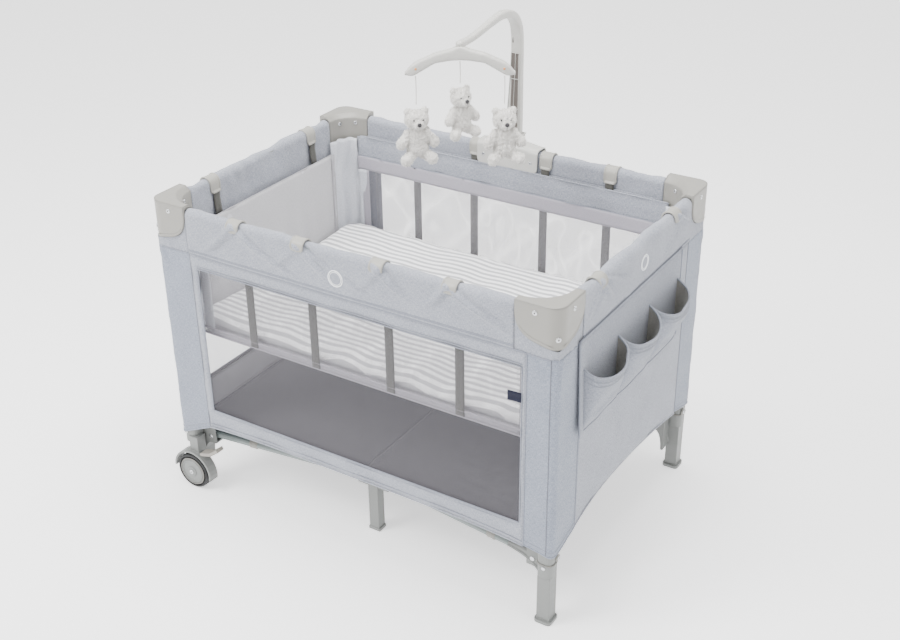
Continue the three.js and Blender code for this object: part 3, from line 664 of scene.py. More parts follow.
def wall_frame(build, side, seed):
    """The sewn border round the window: top, bottom and both ends."""
    low_t, high_t, window_low, window_high = WALLS[side]
    t = frame_lines(low_t, high_t, 0.008, (window_low, window_high))
    rows = frame_lines(0.0, 1.0, 0.025, (0.10, 0.92))
    tt, rr = np.meshgrid(t, rows, indexing="ij")
    low = hem_line(tt, SIDES[side]["half"])
    z = np.where(rr < 0.10, low + (WINDOW_BOTTOM - low) * rr / 0.10,
                 np.where(rr < 0.92, WINDOW_BOTTOM + (WINDOW_TOP - WINDOW_BOTTOM) * (rr - 0.10) / 0.82,
                          WINDOW_TOP + (SEAM_Z + 0.001 - WINDOW_TOP) * (rr - 0.92) / 0.08))
    lift = ripple(tt, z, seed, 0.10, 0.0012) + 0.0012 * hump(z, WINDOW_BOTTOM, 0.012)
    first_t, last_t = np.searchsorted(t, window_low - 1e-6), np.searchsorted(t, window_high - 1e-6)
    first_r, last_r = np.searchsorted(rows, 0.10 - 1e-6), np.searchsorted(rows, 0.92 - 1e-6)

    def keep(i, k):
        return not (first_t <= i < last_t and first_r <= k < last_r)

    build.grid(place(side, tt, SIDES[side]["out"] - 0.0012 + lift, z), HEATHER, keep=keep)


def seam(build, side, t, out, z, radius=0.0011, material=None):
    build.tube(place(side, t, out, z), radius, material or PIPING, sides=6)


def long_line(side, z, out=0.0, inset=0.0, ends=None):
    low, high = ends or (-SIDES[side]["half"], SIDES[side]["half"])
    t = np.linspace(low + inset, high - inset, 90)
    zz = z(t) if callable(z) else np.full_like(t, z)
    return t, SIDES[side]["out"] + out, zz


def window_net(side, seed, top, bottom, t0, t1, out, material, name, bow=0.004):
    t = np.linspace(t0, t1, int((t1 - t0) / 0.012) + 1)
    z = np.linspace(bottom, top, 32)
    tt, zz = np.meshgrid(t, z, indexing="ij")
    free = arc((tt - t0) / (t1 - t0), 0.5) * arc((zz - bottom) / (top - bottom), 0.5)
    sag = -bow * free + free * ripple(tt, zz, seed, 0.1, 0.0016, (1, 0.5))
    build = Build(name)
    build.grid(place(side, tt, out + sag, zz), material)
    return build


def make_covers():
    for number, side in enumerate(SIDES):
        spec = SIDES[side]
        half, out = spec["half"], spec["out"]
        build = Build(f"cover_{side}_cloth")
        band(build, side, 20 + number)
        if side == "right":
            solid_end(build)
        else:
            low_t, high_t, window_low, window_high = WALLS[side]
            wall_frame(build, side, 40 + number)
            window, ends = (window_low, window_high), (low_t, high_t)
            for z in (WINDOW_TOP, WINDOW_BOTTOM):
                seam(build, side, *long_line(side, z, 0.0002, ends=window), radius=0.0007)
                seam(build, side, *long_line(side, z + (0.006 if z > 0.5 else -0.006), 0.0002, ends=window),
                     radius=0.00035)
            hem = long_line(side, lambda t: hem_line(t, half, 0.0005), -0.0010, 0.001, ends=ends)
            seam(build, side, *hem, radius=0.0016, material=HEATHER)
            hem_stitch = long_line(side, lambda t: hem_line(t, half, 0.011), 0.0002, 0.001, ends=ends)
            seam(build, side, *hem_stitch, radius=0.00035)
            z = np.linspace(WINDOW_BOTTOM, WINDOW_TOP, 40)
            for t in (window_low, window_high):
                seam(build, side, np.full_like(z, t), out - 0.0002, z, radius=0.0006)
        seam(build, side, *long_line(side, SEAM_Z, 0.0002, ends=WALLS[side][:2] if side != "right" else None),
             radius=0.0009)
        seam(build, side, *long_line(side, spec["drop"], -2 * ROLL - 0.0004), radius=0.0013, material=HEATHER)
        cloth = build.make(None, "heather_cover", thickness=0.0014, replaces=[f"cover_{side}"])
        gather(cloth, side)
        if side == "right":
            continue
        net = window_net(side, 60 + number, WINDOW_TOP + 0.004, WINDOW_BOTTOM - 0.004, window_low - 0.003,
                         window_high + 0.003, out - 0.0026, NETTING, f"cover_{side}_netting")
        mesh = net.make(None, "netting")
        gather(mesh, side)
    make_lining_strip()
    make_tab()
    make_ring_stitching()


def arch_z(t):
    """The lower edge of the plain end, highest off centre."""
    return 0.232 - np.where(t < -0.09, 0.027 * ((t + 0.09) / 0.17) ** 2, 0.030 * ((t + 0.09) / 0.33) ** 2)


def solid_end(build):
    half, out = SHORT_HALF, OUT_X
    t = np.linspace(-half, half, 66)
    rows = np.linspace(0, 1, 40)
    tt, rr = np.meshgrid(t, rows, indexing="ij")
    low = arch_z(tt)
    z = low + (SEAM_Z + 0.001 - low) * rr
    free = arc((tt + half) / (2 * half), 0.5)
    lift = free * (ripple(tt, z, 77, 0.2, 0.0026, (1, 0.7)) + ripple(tt, z, 78, 0.07, 0.0008))
    build.grid(place("right", tt, out - 0.0012 + lift, z), HEATHER)
    build.tube(place("right", t, out - 0.0010, arch_z(t)), 0.0016, HEATHER, sides=6)


def make_lining_strip():
    """The grey strip that slopes from the floor up to the window at the wheel end, with a dark edge."""
    t = np.linspace(-0.30, 0.30, 60)
    f = np.linspace(0, 1, 7)
    tt, ff = np.meshgrid(t, f, indexing="ij")
    out = 0.4650 + 0.0365 * ff ** 1.3
    z = 0.1915 + 0.056 * ff
    build = Build("lining_left")
    build.grid(place("left", tt, out + ripple(tt, z, 91, 0.14, 0.0005), z), LINING)
    for k in (0, -1):
        build.tube(place("left", t, out[0, k], z[0, k]), 0.0032, FLOOR_EDGE, sides=6)
    obj = build.make(None, "floor_fabric", thickness=0.001)
    gather(obj, "left")


def make_tab():
    """A plain navy tab sewn to the front window."""
    t = np.linspace(0.4005, 0.4300, 12)
    z = np.linspace(0.5370, 0.5590, 8)
    tt, zz = np.meshgrid(t, z, indexing="ij")
    build = Build("front_tab")
    lift = 0.0020 + 0.0016 * hump(tt, 0.404, 0.009) + 0.0004 * np.sin(zz * 400)
    build.grid(place("front", tt, OUT_Y + lift, zz), NAVY)
    gather(build.make(None, "heather_cover", thickness=0.0012), "front")


def make_ring_stitching():
    """Plain stitched rings on the front band and the organizer end."""
    for side, seed in (("front", 20), ("right", 23)):
        t, s, radius = RINGS[side]
        build = Build(f"stitched_ring_{side}")
        for scale, thick in ((1.0, 0.0012), (0.80, 0.0007)):
            a = np.linspace(0, math.tau, 56, endpoint=False)
            reach = radius * scale
            loop = band_points(side, t + reach * np.cos(a), s + reach * np.sin(a), seed, 0.0012)
            build.tube(loop, thick, STITCH, sides=5, closed=True)
        gather(build.make(None, "heather_cover"), side)


make_covers()


# ---------------------------------------------------------------- post sleeves
SLEEVE_ARM = 0.097  # how far a sleeve reaches from its corner along each side
CORNERS = {"front_left": (-1, -1), "front_right": (1, -1), "back_left": (-1, 1), "back_right": (1, 1)}


def sleeve_plan(long_arm):
    """Outline from the long side's edge, round the corner, to the short side's edge."""
    short_arm, round_ = SLEEVE_ARM, 0.016
    long_side = [(OUT_X - long_arm + (long_arm - round_) * i / 14, OUT_Y) for i in range(14)]
    corner = [(OUT_X - round_ + round_ * math.sin(a), OUT_Y - round_ + round_ * math.cos(a))
              for a in np.linspace(0, math.pi / 2, 9)]
    short_side = [(OUT_X, OUT_Y - round_ - (short_arm - round_) * i / 14) for i in range(1, 15)]
    return np.array(long_side + corner + short_side)


# heights of a sleeve's lower edge by the share of its width, at the feet and at the wheels
SLEEVE_FOOT_END = ((0, 0.28, 0.42, 0.6, 1), (0.193, 0.186, 0.180, 0.184, 0.204))
SLEEVE_WHEEL_END = ((0, 0.25, 0.46, 0.6, 1), (0.192, 0.170, 0.151, 0.155, 0.192))


def casting_edge(reach):
    """Height of a casting's lower edge, at a distance in from the corner."""
    f = np.linspace(0, 1, 24)
    along = 2 * f * (1 - f) * 0.00416 + f * f * 0.052
    z = (1 - f) ** 2 * 0.732 + 2 * f * (1 - f) * 0.686 + f * f * 0.678
    return np.interp(0.099 - reach, np.append(along, 0.099), np.append(z, 0.668))


def make_sleeves():
    for number, (name, (sx, sy)) in enumerate(CORNERS.items()):
        build = Build(f"sleeve_{name}")
        flip = sx * sy > 0
        right = name.endswith("right")
        for part, plan in (("wall", sleeve_plan(0.0685 if name == "front_right" else SLEEVE_ARM)),
                           ("shoulder", sleeve_plan(SLEEVE_ARM))):
            s = np.concatenate([[0], np.cumsum(np.linalg.norm(np.diff(plan, axis=0), axis=1))])
            total = s[-1]
            turn = smoothstep(s, s[14] - 0.001, s[22] + 0.001)
            normal = np.stack([np.sin(turn * math.pi / 2), np.cos(turn * math.pi / 2)], axis=1)
            reach = np.where(turn < 0.5, OUT_X - plan[:, 0], OUT_Y - plan[:, 1])
            if part == "wall":
                rows = np.linspace(0, 1, 76)
                low = np.interp(s / total, *(SLEEVE_FOOT_END if right else SLEEVE_WHEEL_END))
                top = np.full_like(s, SEAM_Z + 0.0005)
            else:
                rows = np.linspace(0, 1, 22)
                low = np.full_like(s, SEAM_Z - 0.0005)
                top = casting_edge(reach + 0.003) - 0.0008
            ss, rr = np.meshgrid(s, rows, indexing="ij")
            z = low[:, None] + (top - low)[:, None] * rr
            free = arc(ss / total, 0.4)
            broad = ripple(ss, z, 100 + number, 0.11, 0.0010, (0.6, 1))
            lift = free * (broad + ripple(ss, z, 110 + number, 0.03, 0.0003))
            under = smoothstep(z, 0.57, 0.645) * (1 - smoothstep(z, 0.66, 0.69))
            lift += free * under * ripple(ss, z, 120 + number, 0.018, 0.0014, (1.3, 0.4)) - 0.0012
            x = plan[:, 0][:, None] + normal[:, 0][:, None] * lift
            y = plan[:, 1][:, None] + normal[:, 1][:, None] * lift
            points = np.stack([sx * x, sy * y, z], axis=-1)
            build.grid(points if flip else points[::-1], SLEEVE if part == "wall" else HEATHER)
            out = np.stack([sx * normal[:, 0], sy * normal[:, 1], np.zeros(len(s))], axis=1)
            if part == "wall":
                for index in (0, len(s) - 1):
                    build.tube(points[index] + out[index] * 0.0008, 0.0008, PIPING, sides=6)
                if right:
                    build.tube(points[14] + out[14] * 0.0006, 0.0005, DARK_PIPING, sides=5)
                build.tube(points[:, 0] + np.array([0, 0, 0.0006]), 0.0016, SLEEVE, sides=6)
                stitch = points[:, 2] + out * 0.0006
                build.tube(stitch, 0.00035, PIPING, sides=5)
            else:
                build.tube(points[:15, 0] + out[:15] * 0.0008, 0.0009, PIPING, sides=6)
        obj = build.make(f"leg_{name}", "sleeve_fabric", thickness=0.0014, replaces=[f"post_sleeve_{name}"])


make_sleeves()


# ---------------------------------------------------------------- screws and rivets
def fastener(build, centre, axis, radius=0.0055, depth=0.0022, dark=True):
    """A screw head: a domed ring with a small black disc in the middle, painted shade for its recess."""
    build.disc(centre, axis, radius, depth, STEEL)
    # painted shade: a black disc where the head's recess would lie in shadow
    if dark:
        centre = Vector(centre) + Vector(axis).normalized() * depth * 0.95
        build.disc(centre, axis, radius * 0.35, depth * 0.25, BLACK, sides=6)


def make_casting_details():
    for name, (sx, sy) in CORNERS.items():
        build = Build(f"casting_screws_{name}")
        fastener(build, (sx * 0.456, sy * 0.3585, 0.742), (0, sy, 0))
        fastener(build, (sx * 0.5105, sy * 0.304, 0.742), (sx, 0, 0))
        diagonal = Vector((sx, sy, 0)).normalized()
        bow = Vector((sx * 0.483, sy * 0.331, 0.694)) + diagonal * 0.0276
        fastener(build, bow, diagonal)
        for turn in (27, 63):
            a = math.radians(turn)
            axis = Vector((sx * math.cos(a), sy * math.sin(a), 0))
            spot = Vector((sx * 0.413, sy * 0.261, 0.736)) + axis * 0.0658
            fastener(build, spot, -axis, radius=0.005)
        # a raised line follows the lower edge of the shield
        reach = np.linspace(0.088, 0.014, 34)
        z = casting_edge(reach) + 0.0075
        face_x, face_y = np.full_like(reach, sx * 0.5108), np.full_like(reach, sy * 0.3588)
        for line in ((sx * (CASTING_X - reach), face_y, z), (face_x, sy * (CASTING_Y - reach), z)):
            build.tube(np.stack(line, axis=-1), 0.0005, CASTING, sides=6)
        build.make(f"leg_{name}", "grey_moulding")


make_casting_details()


# ---------------------------------------------------------------- bassinet
def bin_plan():
    """The bassinet wall's plan, all round: points, outward normals and length along it."""
    step = 0.008
    pts, nor = [], []
    hx, hy, r = BIN_X, BIN_Y, BIN_ROUND
    straight = [((hx, -(hy - r)), (hx, hy - r), (1, 0)), ((hx - r, hy), (-(hx - r), hy), (0, 1)),
                ((-hx, hy - r), (-hx, -(hy - r)), (-1, 0)), ((-(hx - r), -hy), (hx - r, -hy), (0, -1))]
    centres = [(hx - r, hy - r), (-(hx - r), hy - r), (-(hx - r), -(hy - r)), (hx - r, -(hy - r))]
    for k in range(4):
        a, b, n = straight[k]
        count = int(math.dist(a, b) / step)
        for i in range(count):
            f = i / count
            pts.append((a[0] + (b[0] - a[0]) * f, a[1] + (b[1] - a[1]) * f))
            nor.append(n)
        for i in range(12):
            t = math.pi / 2 * (k + i / 12)
            pts.append((centres[k][0] + r * math.cos(t), centres[k][1] + r * math.sin(t)))
            nor.append((math.cos(t), math.sin(t)))
    pts, nor = np.array(pts), np.array(nor)
    s = np.concatenate([[0], np.cumsum(np.linalg.norm(np.diff(pts, axis=0), axis=1))])
    return pts, nor, s


def bin_ring(build, z_lines, out, material, seed, amount, keep, folds=0.0):
    pts, nor, s = bin_plan()
    z = np.asarray(z_lines, float)
    ss, zz = np.meshgrid(s, z, indexing="ij")
    lift = ripple(ss, zz, seed, 0.08, amount, (1, 0.4))
    corner = hump(np.abs(pts[:, 0]), BIN_X - 0.03, 0.05) * hump(np.abs(pts[:, 1]), BIN_Y - 0.03, 0.05)
    pleats = np.sin(ss * math.tau / 0.030 + 16 * zz + 1.3 * np.sin(zz * 30)) + 0.35
    lift = lift + folds * corner[:, None] * pleats
    xy = pts[:, None, :] + nor[:, None, :] * (out + lift)[..., None]
    grid = np.concatenate([xy, zz[..., None]], axis=-1)
    build.grid(grid, material, closed=True, keep=lambda i, k: keep(pts[i]))


def on_long_window(p):
    return abs(p[0]) < BIN_WINDOW and abs(p[1]) > BIN_Y - 0.002


def make_bassinet():
    body = "bassinet"
    band_build = Build("bassinet_band")
    pts, nor, s = bin_plan()

    def on_long(p):
        return abs(p[1]) > BIN_Y - 0.002

    def on_end(p):
        return abs(p[0]) > BIN_X - 0.002 and abs(p[1]) < BIN_PANEL

    z = np.linspace(BIN_BAND, BIN_TOP, 14)
    flare = 0.0045 * smoothstep(z, BIN_TOP - 0.030, BIN_TOP)
    bin_ring(band_build, z, flare, HEATHER, 201, 0.0020, keep=on_long)
    bin_ring(band_build, np.linspace(BIN_BINDING, BIN_BAND, 6), -0.0016, BINDING, 202, 0.0006,
             keep=on_long)
    bin_ring(band_build, np.linspace(BIN_END - 0.030, BIN_END, 4), -0.0014, BIN_CLOTH, 205, 0.0010,
             keep=on_end)
    for level, out, spread, kept, material in (
            (BIN_TOP, 0.0045, 0.0014, on_long, HEATHER), (BIN_BAND, -0.0008, 0.0009, on_long, PIPING),
            (BIN_END, -0.0010, 0.0013, on_end, LINING)):
        kept_points = [(*(p + n * out), level) for p, n in zip(pts, nor) if kept(p)]
        pairs = enumerate(zip(kept_points, kept_points[1:]), 1)
        jumps = [i for i, (p, q) in pairs if math.dist(p, q) > 0.03]
        for start, stop in zip([0, *jumps], [*jumps, len(kept_points)]):
            if stop - start > 2:
                band_build.tube(kept_points[start:stop], spread, material, sides=6)

    def loop(z, out):
        return [(*(p + n * out), z) for p, n in zip(pts, nor)]

    for level, out in ((BIN_BOTTOM, 0.001), (BIN_BOTTOM + 0.013, 0.0005)):
        band_build.tube(loop(level, out), 0.0022, BINDING, sides=6, closed=True)
    # upright bindings at the ends of the two long windows, and the bottom tape
    z = np.linspace(BIN_BOTTOM, BIN_BINDING + 0.001, 16)
    for sy in (-1, 1):
        for sx in (-1, 1):
            x = np.linspace(BIN_WINDOW - 0.002, BIN_WINDOW + 0.018, 5)
            xx, zz = np.meshgrid(x, z, indexing="ij")
            y = np.where(xx > BIN_X - BIN_ROUND, BIN_Y - BIN_ROUND + np.sqrt(np.maximum(
                BIN_ROUND ** 2 - (xx - BIN_X + BIN_ROUND) ** 2, 0)), BIN_Y) - 0.0034
            points = np.stack([sx * xx, sy * y, zz], axis=-1)
            band_build.grid(points if sx * sy > 0 else points[::-1], BINDING)
        x = np.linspace(-BIN_WINDOW, BIN_WINDOW, 90)
        zz = np.linspace(BIN_BOTTOM, BIN_BOTTOM + 0.013, 3)
        tape, levels = np.meshgrid(x, zz, indexing="ij")
        points = np.stack([tape, np.full_like(tape, sy * (BIN_Y + 0.0004)), levels], axis=-1)
        band_build.grid(points if sy < 0 else points[::-1], BINDING)
    # the end panels are bound in grey beside each corner
    for sx in (-1, 1):
        for sy in (-1, 1):
            y = np.linspace(BIN_PANEL - 0.007, BIN_PANEL + 0.007, 4)
            yy, zz = np.meshgrid(y, np.linspace(BIN_BOTTOM, BIN_END, 16), indexing="ij")
            points = np.stack([np.full_like(yy, sx * (BIN_X - 0.0040)), sy * yy, zz], axis=-1)
            band_build.grid(points if sx * sy < 0 else points[::-1], LINING)
    bound = band_build.make(body, "heather_cover", thickness=0.0010, replaces=["bassinet_shell"])

    ends = Build("bassinet_ends")
    bin_ring(ends, np.linspace(BIN_BOTTOM, BIN_TOP - 0.003, 26), -0.0022, PLEATED, 203, 0.0022, folds=0.0072,
             keep=lambda p: not on_long(p) and abs(p[1]) > BIN_PANEL)
    bin_ring(ends, np.linspace(BIN_BOTTOM, BIN_BINDING + 0.001, 20), -0.0030, PLEATED, 206, 0.0010,
             keep=lambda p: on_long(p) and not on_long_window(p))
    bin_ring(ends, np.linspace(BIN_BOTTOM, BIN_END, 24), -0.0022, END_MESH, 204, 0.0018,
             keep=on_end)
    obj = ends.make(body, "heather_cover", thickness=0.0010)

    for side in ("front", "back"):
        net = window_net(side, 210, BIN_BINDING + 0.002, BIN_BOTTOM, -BIN_WINDOW, BIN_WINDOW, BIN_Y - 0.0026,
                         BIN_NETTING, f"bassinet_netting_{side}", bow=0.003)
        mesh = net.make(body, "netting")

    floor = Build("bassinet_base_cloth")
    rings = []
    for f in np.linspace(1, 0.02, 22):
        rings.append([(p[0] * f, p[1] * f, BIN_FLOOR) for p in pts - nor * 0.002])
    floor.grid(np.array(rings).transpose(1, 0, 2), BIN_CLOTH, closed=True)
    base = floor.make(body, "netting", thickness=0.0012)


def strap_path(build, side, t, points, width, material):
    """A tape along (out, z) points at one place on a side."""
    across = np.linspace(-width / 2, width / 2, 5)
    p = np.array(points)
    grid = np.stack([place(side, t + a, p[:, 0], p[:, 1]) for a in across], axis=0)
    build.grid(grid, material)


def make_clips_and_straps():
    for side, spec in SIDES.items():
        wall = BIN_Y if side in ("front", "back") else BIN_X
        out = spec["out"]
        clips, straps = Build(f"clips_{side}"), Build(f"straps_{side}")
        for t in spec["clips"]:
            r = ROLL + 0.0022
            path = [(out + 0.0022, ROLL_Z - 0.005 + 0.005 * i / 3) for i in range(3)]
            path += [(out - ROLL + r * math.cos(a), ROLL_Z + r * math.sin(a))
                     for a in np.linspace(0, math.pi, 16)]
            inner = out - 2 * ROLL - 0.0024
            path += [(inner, 0.7360), (inner, 0.7310), (inner, 0.7260), (inner, 0.7215)]
            path = np.array(path)
            # the outer lip is narrower and rounded
            half = np.full(len(path), 0.0145)
            half[:3] = (0.0110, 0.0134, 0.0143)
            ends = np.linspace(-1, 1, 9)
            rows = np.stack([place(side, t + f * half, path[:, 0], path[:, 1]) for f in ends], axis=0)
            clips.grid(rows, CLIP)
            for f in (-1, 1):
                clips.tube(place(side, t + f * half, path[:, 0], path[:, 1]), 0.0014, CLIP, sides=6)
            lip_z = path[0, 1] - 0.0010 + 0.0010 * ends ** 2
            clips.tube(place(side, t + ends * 0.0110, path[0, 0], lip_z), 0.0015, CLIP, sides=6)
            clips.tube(place(side, t + ends * 0.0145, path[-1, 0], path[-1, 1]), 0.0017, CLIP, sides=6)
            bar = place(side, t + np.linspace(-0.0125, 0.0125, 5), inner - 0.0020, 0.7190)
            clips.tube(bar, 0.0018, CLIP, sides=8)
            # webbing is looped through the clip and sewn down the outside of the wall
            run = [(inner - 0.0018, 0.7205), (inner - 0.0026, 0.7120), (inner - 0.0012, 0.7030),
                   (wall + 0.0060, 0.6850), (wall + 0.0034, BIN_BAND)]
            if side in ("front", "back"):
                run += [(wall + 0.0024, z) for z in np.linspace(BIN_BINDING + 0.003, BIN_BOTTOM + 0.001, 14)]
            strap_path(straps, side, t, run, 0.0215, WEBBING)
        clips.make("bassinet", "pale_moulding", thickness=0.0022)
        straps.make("bassinet", "webbing", thickness=0.0012)


make_bassinet()
make_clips_and_straps()


# ---------------------------------------------------------------- bassinet pad
def make_pad():
    lo, hi = Vector((-0.4630, -0.3110, 0.4415)), Vector((0.4630, 0.3110, 0.4660))
    size = hi - lo
    bpy.ops.mesh.primitive_cube_add(size=1, location=(lo + hi) / 2)
    obj = bpy.context.object
    obj.name = obj.data.name = "pad_cover"
    obj.scale = (size.x, size.y, size.z)
    bpy.ops.object.transform_apply(location=False, rotation=False, scale=True)
    upright = [e for e in obj.data.edges if abs(obj.data.vertices[e.vertices[0]].co.z
                                              - obj.data.vertices[e.vertices[1]].co.z) > 0.01]
    for e in obj.data.edges:
        e.select = False
    layer = obj.data.attributes.new("bevel_weight_edge", "FLOAT", "EDGE")
    for e in upright:
        layer.data[e.index].value = 1.0
    modifier(obj, "BEVEL", width=0.050, segments=8, limit_method="WEIGHT")
    settle(obj)
    modifier(obj, "BEVEL", width=0.009, segments=3, limit_method="ANGLE", angle_limit=math.radians(50))
    modifier(obj, "REMESH", mode="VOXEL", voxel_size=0.0105)
    modifier(obj, "SMOOTH", factor=0.5, iterations=3)
    settle(obj)
    rest = np.array([v.co for v in obj.data.vertices])
    group = obj.vertex_groups.new(name="held")
    low = rest[:, 2].min()
    group.add([i for i, c in enumerate(rest) if c[2] < low + 0.006], 1.0, "REPLACE")
    cloth = modifier(obj, "CLOTH")
    settings = cloth.settings
    settings.quality = 4
    settings.mass = 0.3
    settings.tension_stiffness = settings.compression_stiffness = 25
    settings.bending_stiffness = 4
    settings.vertex_group_mass = "held"
    settings.use_pressure = True
    settings.uniform_pressure_force = 3.0
    settings.shrink_min = -0.012
    settings.effector_weights.gravity = 0
    cloth.point_cache.frame_start, cloth.point_cache.frame_end = 1, 16
    for f in range(1, 17):
        scene.frame_set(f)
    settle(obj)
    scene.frame_set(1)
    moved = np.array([v.co for v in obj.data.vertices])
    shift = np.clip(moved - rest, -0.005, 0.005)
    top = smoothstep(rest[:, 2], rest[:, 2].min() + 0.006, rest[:, 2].max() - 0.004)[:, None]
    result = rest + shift * top
    waves = ripple(result[:, 0], result[:, 1], 301, 0.17, 0.0016, (1.2, 0.8)) + ripple(
        result[:, 0], result[:, 1], 302, 0.05, 0.0006)
    result[:, 2] += waves * smoothstep(rest[:, 2], rest[:, 2].max() - 0.012, rest[:, 2].max() - 0.002)
    limit = np.array([0.4655, 0.3135])
    result[:, :2] = np.clip(result[:, :2], -limit, limit)
    obj.data.vertices.foreach_set("co", result.ravel())
    obj.data.update()
    modifier(obj, "SUBSURF", levels=1, render_levels=1)
    settle(obj)
    obj.data.materials.clear()
    obj.data.materials.append(SHEET)
    obj.data.polygons.foreach_set("use_smooth", [True] * len(obj.data.polygons))
    attach(obj, "bassinet_pad", ["bassinet_pad"])


make_pad()


# ---------------------------------------------------------------- floor panel
def make_floor():
    hx, hy, z0 = 0.4625, 0.3085, 0.190
    for name, (sx, sy) in CORNERS.items():
        x = np.linspace(0, hx, 60)
        y = np.linspace(0, hy, 42)
        xx, yy = np.meshgrid(x, y, indexing="ij")
        # round the outer corner off
        r = 0.04
        over = np.maximum(xx - (hx - r), 0)
        limit = np.where(over > 0, hy - r + np.sqrt(np.maximum(r * r - over * over, 0)), hy)
        yy = np.minimum(yy, yy / hy * limit)
        z = z0 + ripple(sx * xx, sy * yy, 401, 0.22, 0.0012)
        z += ripple(sx * xx, sy * yy, 402, 0.05, 0.0006) * smoothstep(sx * xx, 0.05, 0.35)
        z -= 0.0008 * hump(yy, 0, 0.006)
        points = np.stack([sx * xx, sy * yy, z], axis=-1)
        build = Build(f"floor_{name}")
        build.grid(points if sx * sy > 0 else points[::-1], FLOOR_CLOTH)
        edge = [(sx * a, sy * hy, z0) for a in np.linspace(0, hx - r, 30)]
        edge += [(sx * (hx - r + r * math.sin(a)), sy * (hy - r + r * math.cos(a)), z0)
                 for a in np.linspace(0.1, math.pi / 2, 8)]
        edge += [(sx * hx, sy * (hy - r) * (1 - f), z0) for f in np.linspace(0.02, 1, 24)]
        build.tube(edge, 0.0022, FLOOR_EDGE, sides=6)
        replaced = ["floor_panel"] if name == "front_left" else ()
        obj = build.make(None, "floor_fabric", thickness=0.003, replaces=replaced)
        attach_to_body(obj, f"base_tube_{name}")
        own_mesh(obj)


make_floor()


# ---------------------------------------------------------------- organizer
def make_organizer():
    x0, y0, y1, top, bottom = 0.5105, -0.277, 0.213, 0.655, 0.440
    panel = Build("organizer_cloth")
    y = np.linspace(y0, y1, 82)
    rows = np.linspace(0, 1, 26)
    yy, rr = np.meshgrid(y, rows, indexing="ij")
    low = bottom + 0.006 * np.cos((yy - y0) / (y1 - y0) * math.tau * 1.5)
    z = low + (top - low) * rr
    lift = ripple(yy, z, 501, 0.12, 0.0010) + 0.007 * hump(yy, y0, 0.03) * (1 - rr)
    panel.grid(np.stack([x0 + lift + 0.001, yy, z], axis=-1), POCKET)
    panel.tube([(x0 + 0.0014, v, top) for v in y], 0.0017, POCKET, sides=6)
    panel.tube([(x0 + 0.0006, v, top + 0.0016) for v in y], 0.0007, DARK_PIPING, sides=5)
    for edge, out in ((y0, 0.007), (y1, 0.0)):
        line = [(x0 + 0.0014 + out * (1 - f), edge, bottom + (top - bottom) * f)
                for f in np.linspace(0, 1, 20)]
        panel.tube(line, 0.0015, PIPING, sides=6)
    back = panel.make("organizer", "heather_cover", thickness=0.0014, replaces=["organizer"])
    edges = (-0.260, -0.104, 0.048, 0.196)
    for number, where_name in enumerate(("front", "middle", "back")):
        a, b = edges[number:number + 2]
        u = np.linspace(0, 1, 46)
        rows = np.linspace(0, 1, 26)
        uu, rr = np.meshgrid(u, rows, indexing="ij")
        belly = arc(uu, 0.75)
        open_ = 0.020 + (0.026 + 0.003 * number) * smoothstep(rr, 0.15, 1.0)
        wave = ripple(uu * 0.2, rr * 0.15, 510 + number, 0.08, 0.0034)
        out = x0 + 0.003 + belly * (open_ + wave) * (0.35 + 0.65 * smoothstep(rr, 0.0, 0.25))
        yy = a + (b - a) * (0.5 - 0.5 * np.cos(math.pi * uu))
        rim = 0.588 - 0.030 * belly
        low = bottom + 0.004 + 0.004 * np.sin(math.pi * uu)
        z = low + (rim - low) * rr
        build = Build(f"organizer_pocket_{where_name}")
        build.grid(np.stack([out, yy, z], axis=-1), POCKET)
        lining = np.stack([out - 0.0022, yy, z - 0.0005], axis=-1)[::-1]
        edge = np.stack([out[:, -1] - 0.0008, yy[:, -1], z[:, -1]], axis=-1)
        build.tube(edge, 0.0026, POCKET, sides=8)
        for drop in (3, 5):
            line = np.stack([out[:, -drop] + 0.0012, yy[:, -drop], z[:, -drop]], axis=-1)
            build.tube(line, 0.0004, PIPING, sides=5)
        # a pinched pleat closes the bottom
        build.tube(np.stack([out[:, 0], yy[:, 0], z[:, 0]], axis=-1), 0.0015, PIPING, sides=6)
        pocket = build.make("organizer", "heather_cover")
        inside = Build(f"organizer_lining_{where_name}")
        inside.grid(lining, POCKET_LINING)
        inner = inside.make("organizer", "heather_cover")


make_organizer()


# ---------------------------------------------------------------- wheels, feet and base
def rounded_section(width, depth, radius, count=5):
    """A rectangle with rounded corners, each of count points."""
    pts = []
    for cx, cy, start in ((1, 1, 0), (-1, 1, 90), (-1, -1, 180), (1, -1, 270)):
        for d in np.linspace(0, 90, count):
            t = math.radians(start + d)
            pts.append((cx * (width / 2 - radius) + radius * math.cos(t),
                        cy * (depth / 2 - radius) + radius * math.sin(t)))
    return np.array(pts)


def wheel_ring(x, y, z, radius, count):
    """A ring of points round a wheel's axle."""
    return [(x + radius * math.cos(a), y, z + radius * math.sin(a))
            for a in np.linspace(0, math.tau, count, endpoint=False)]


def curve(f, start, bend, end):
    """A curve from start to end that heads for bend at both."""
    return (1 - f) ** 2 * start + 2 * f * (1 - f) * bend + f * f * end


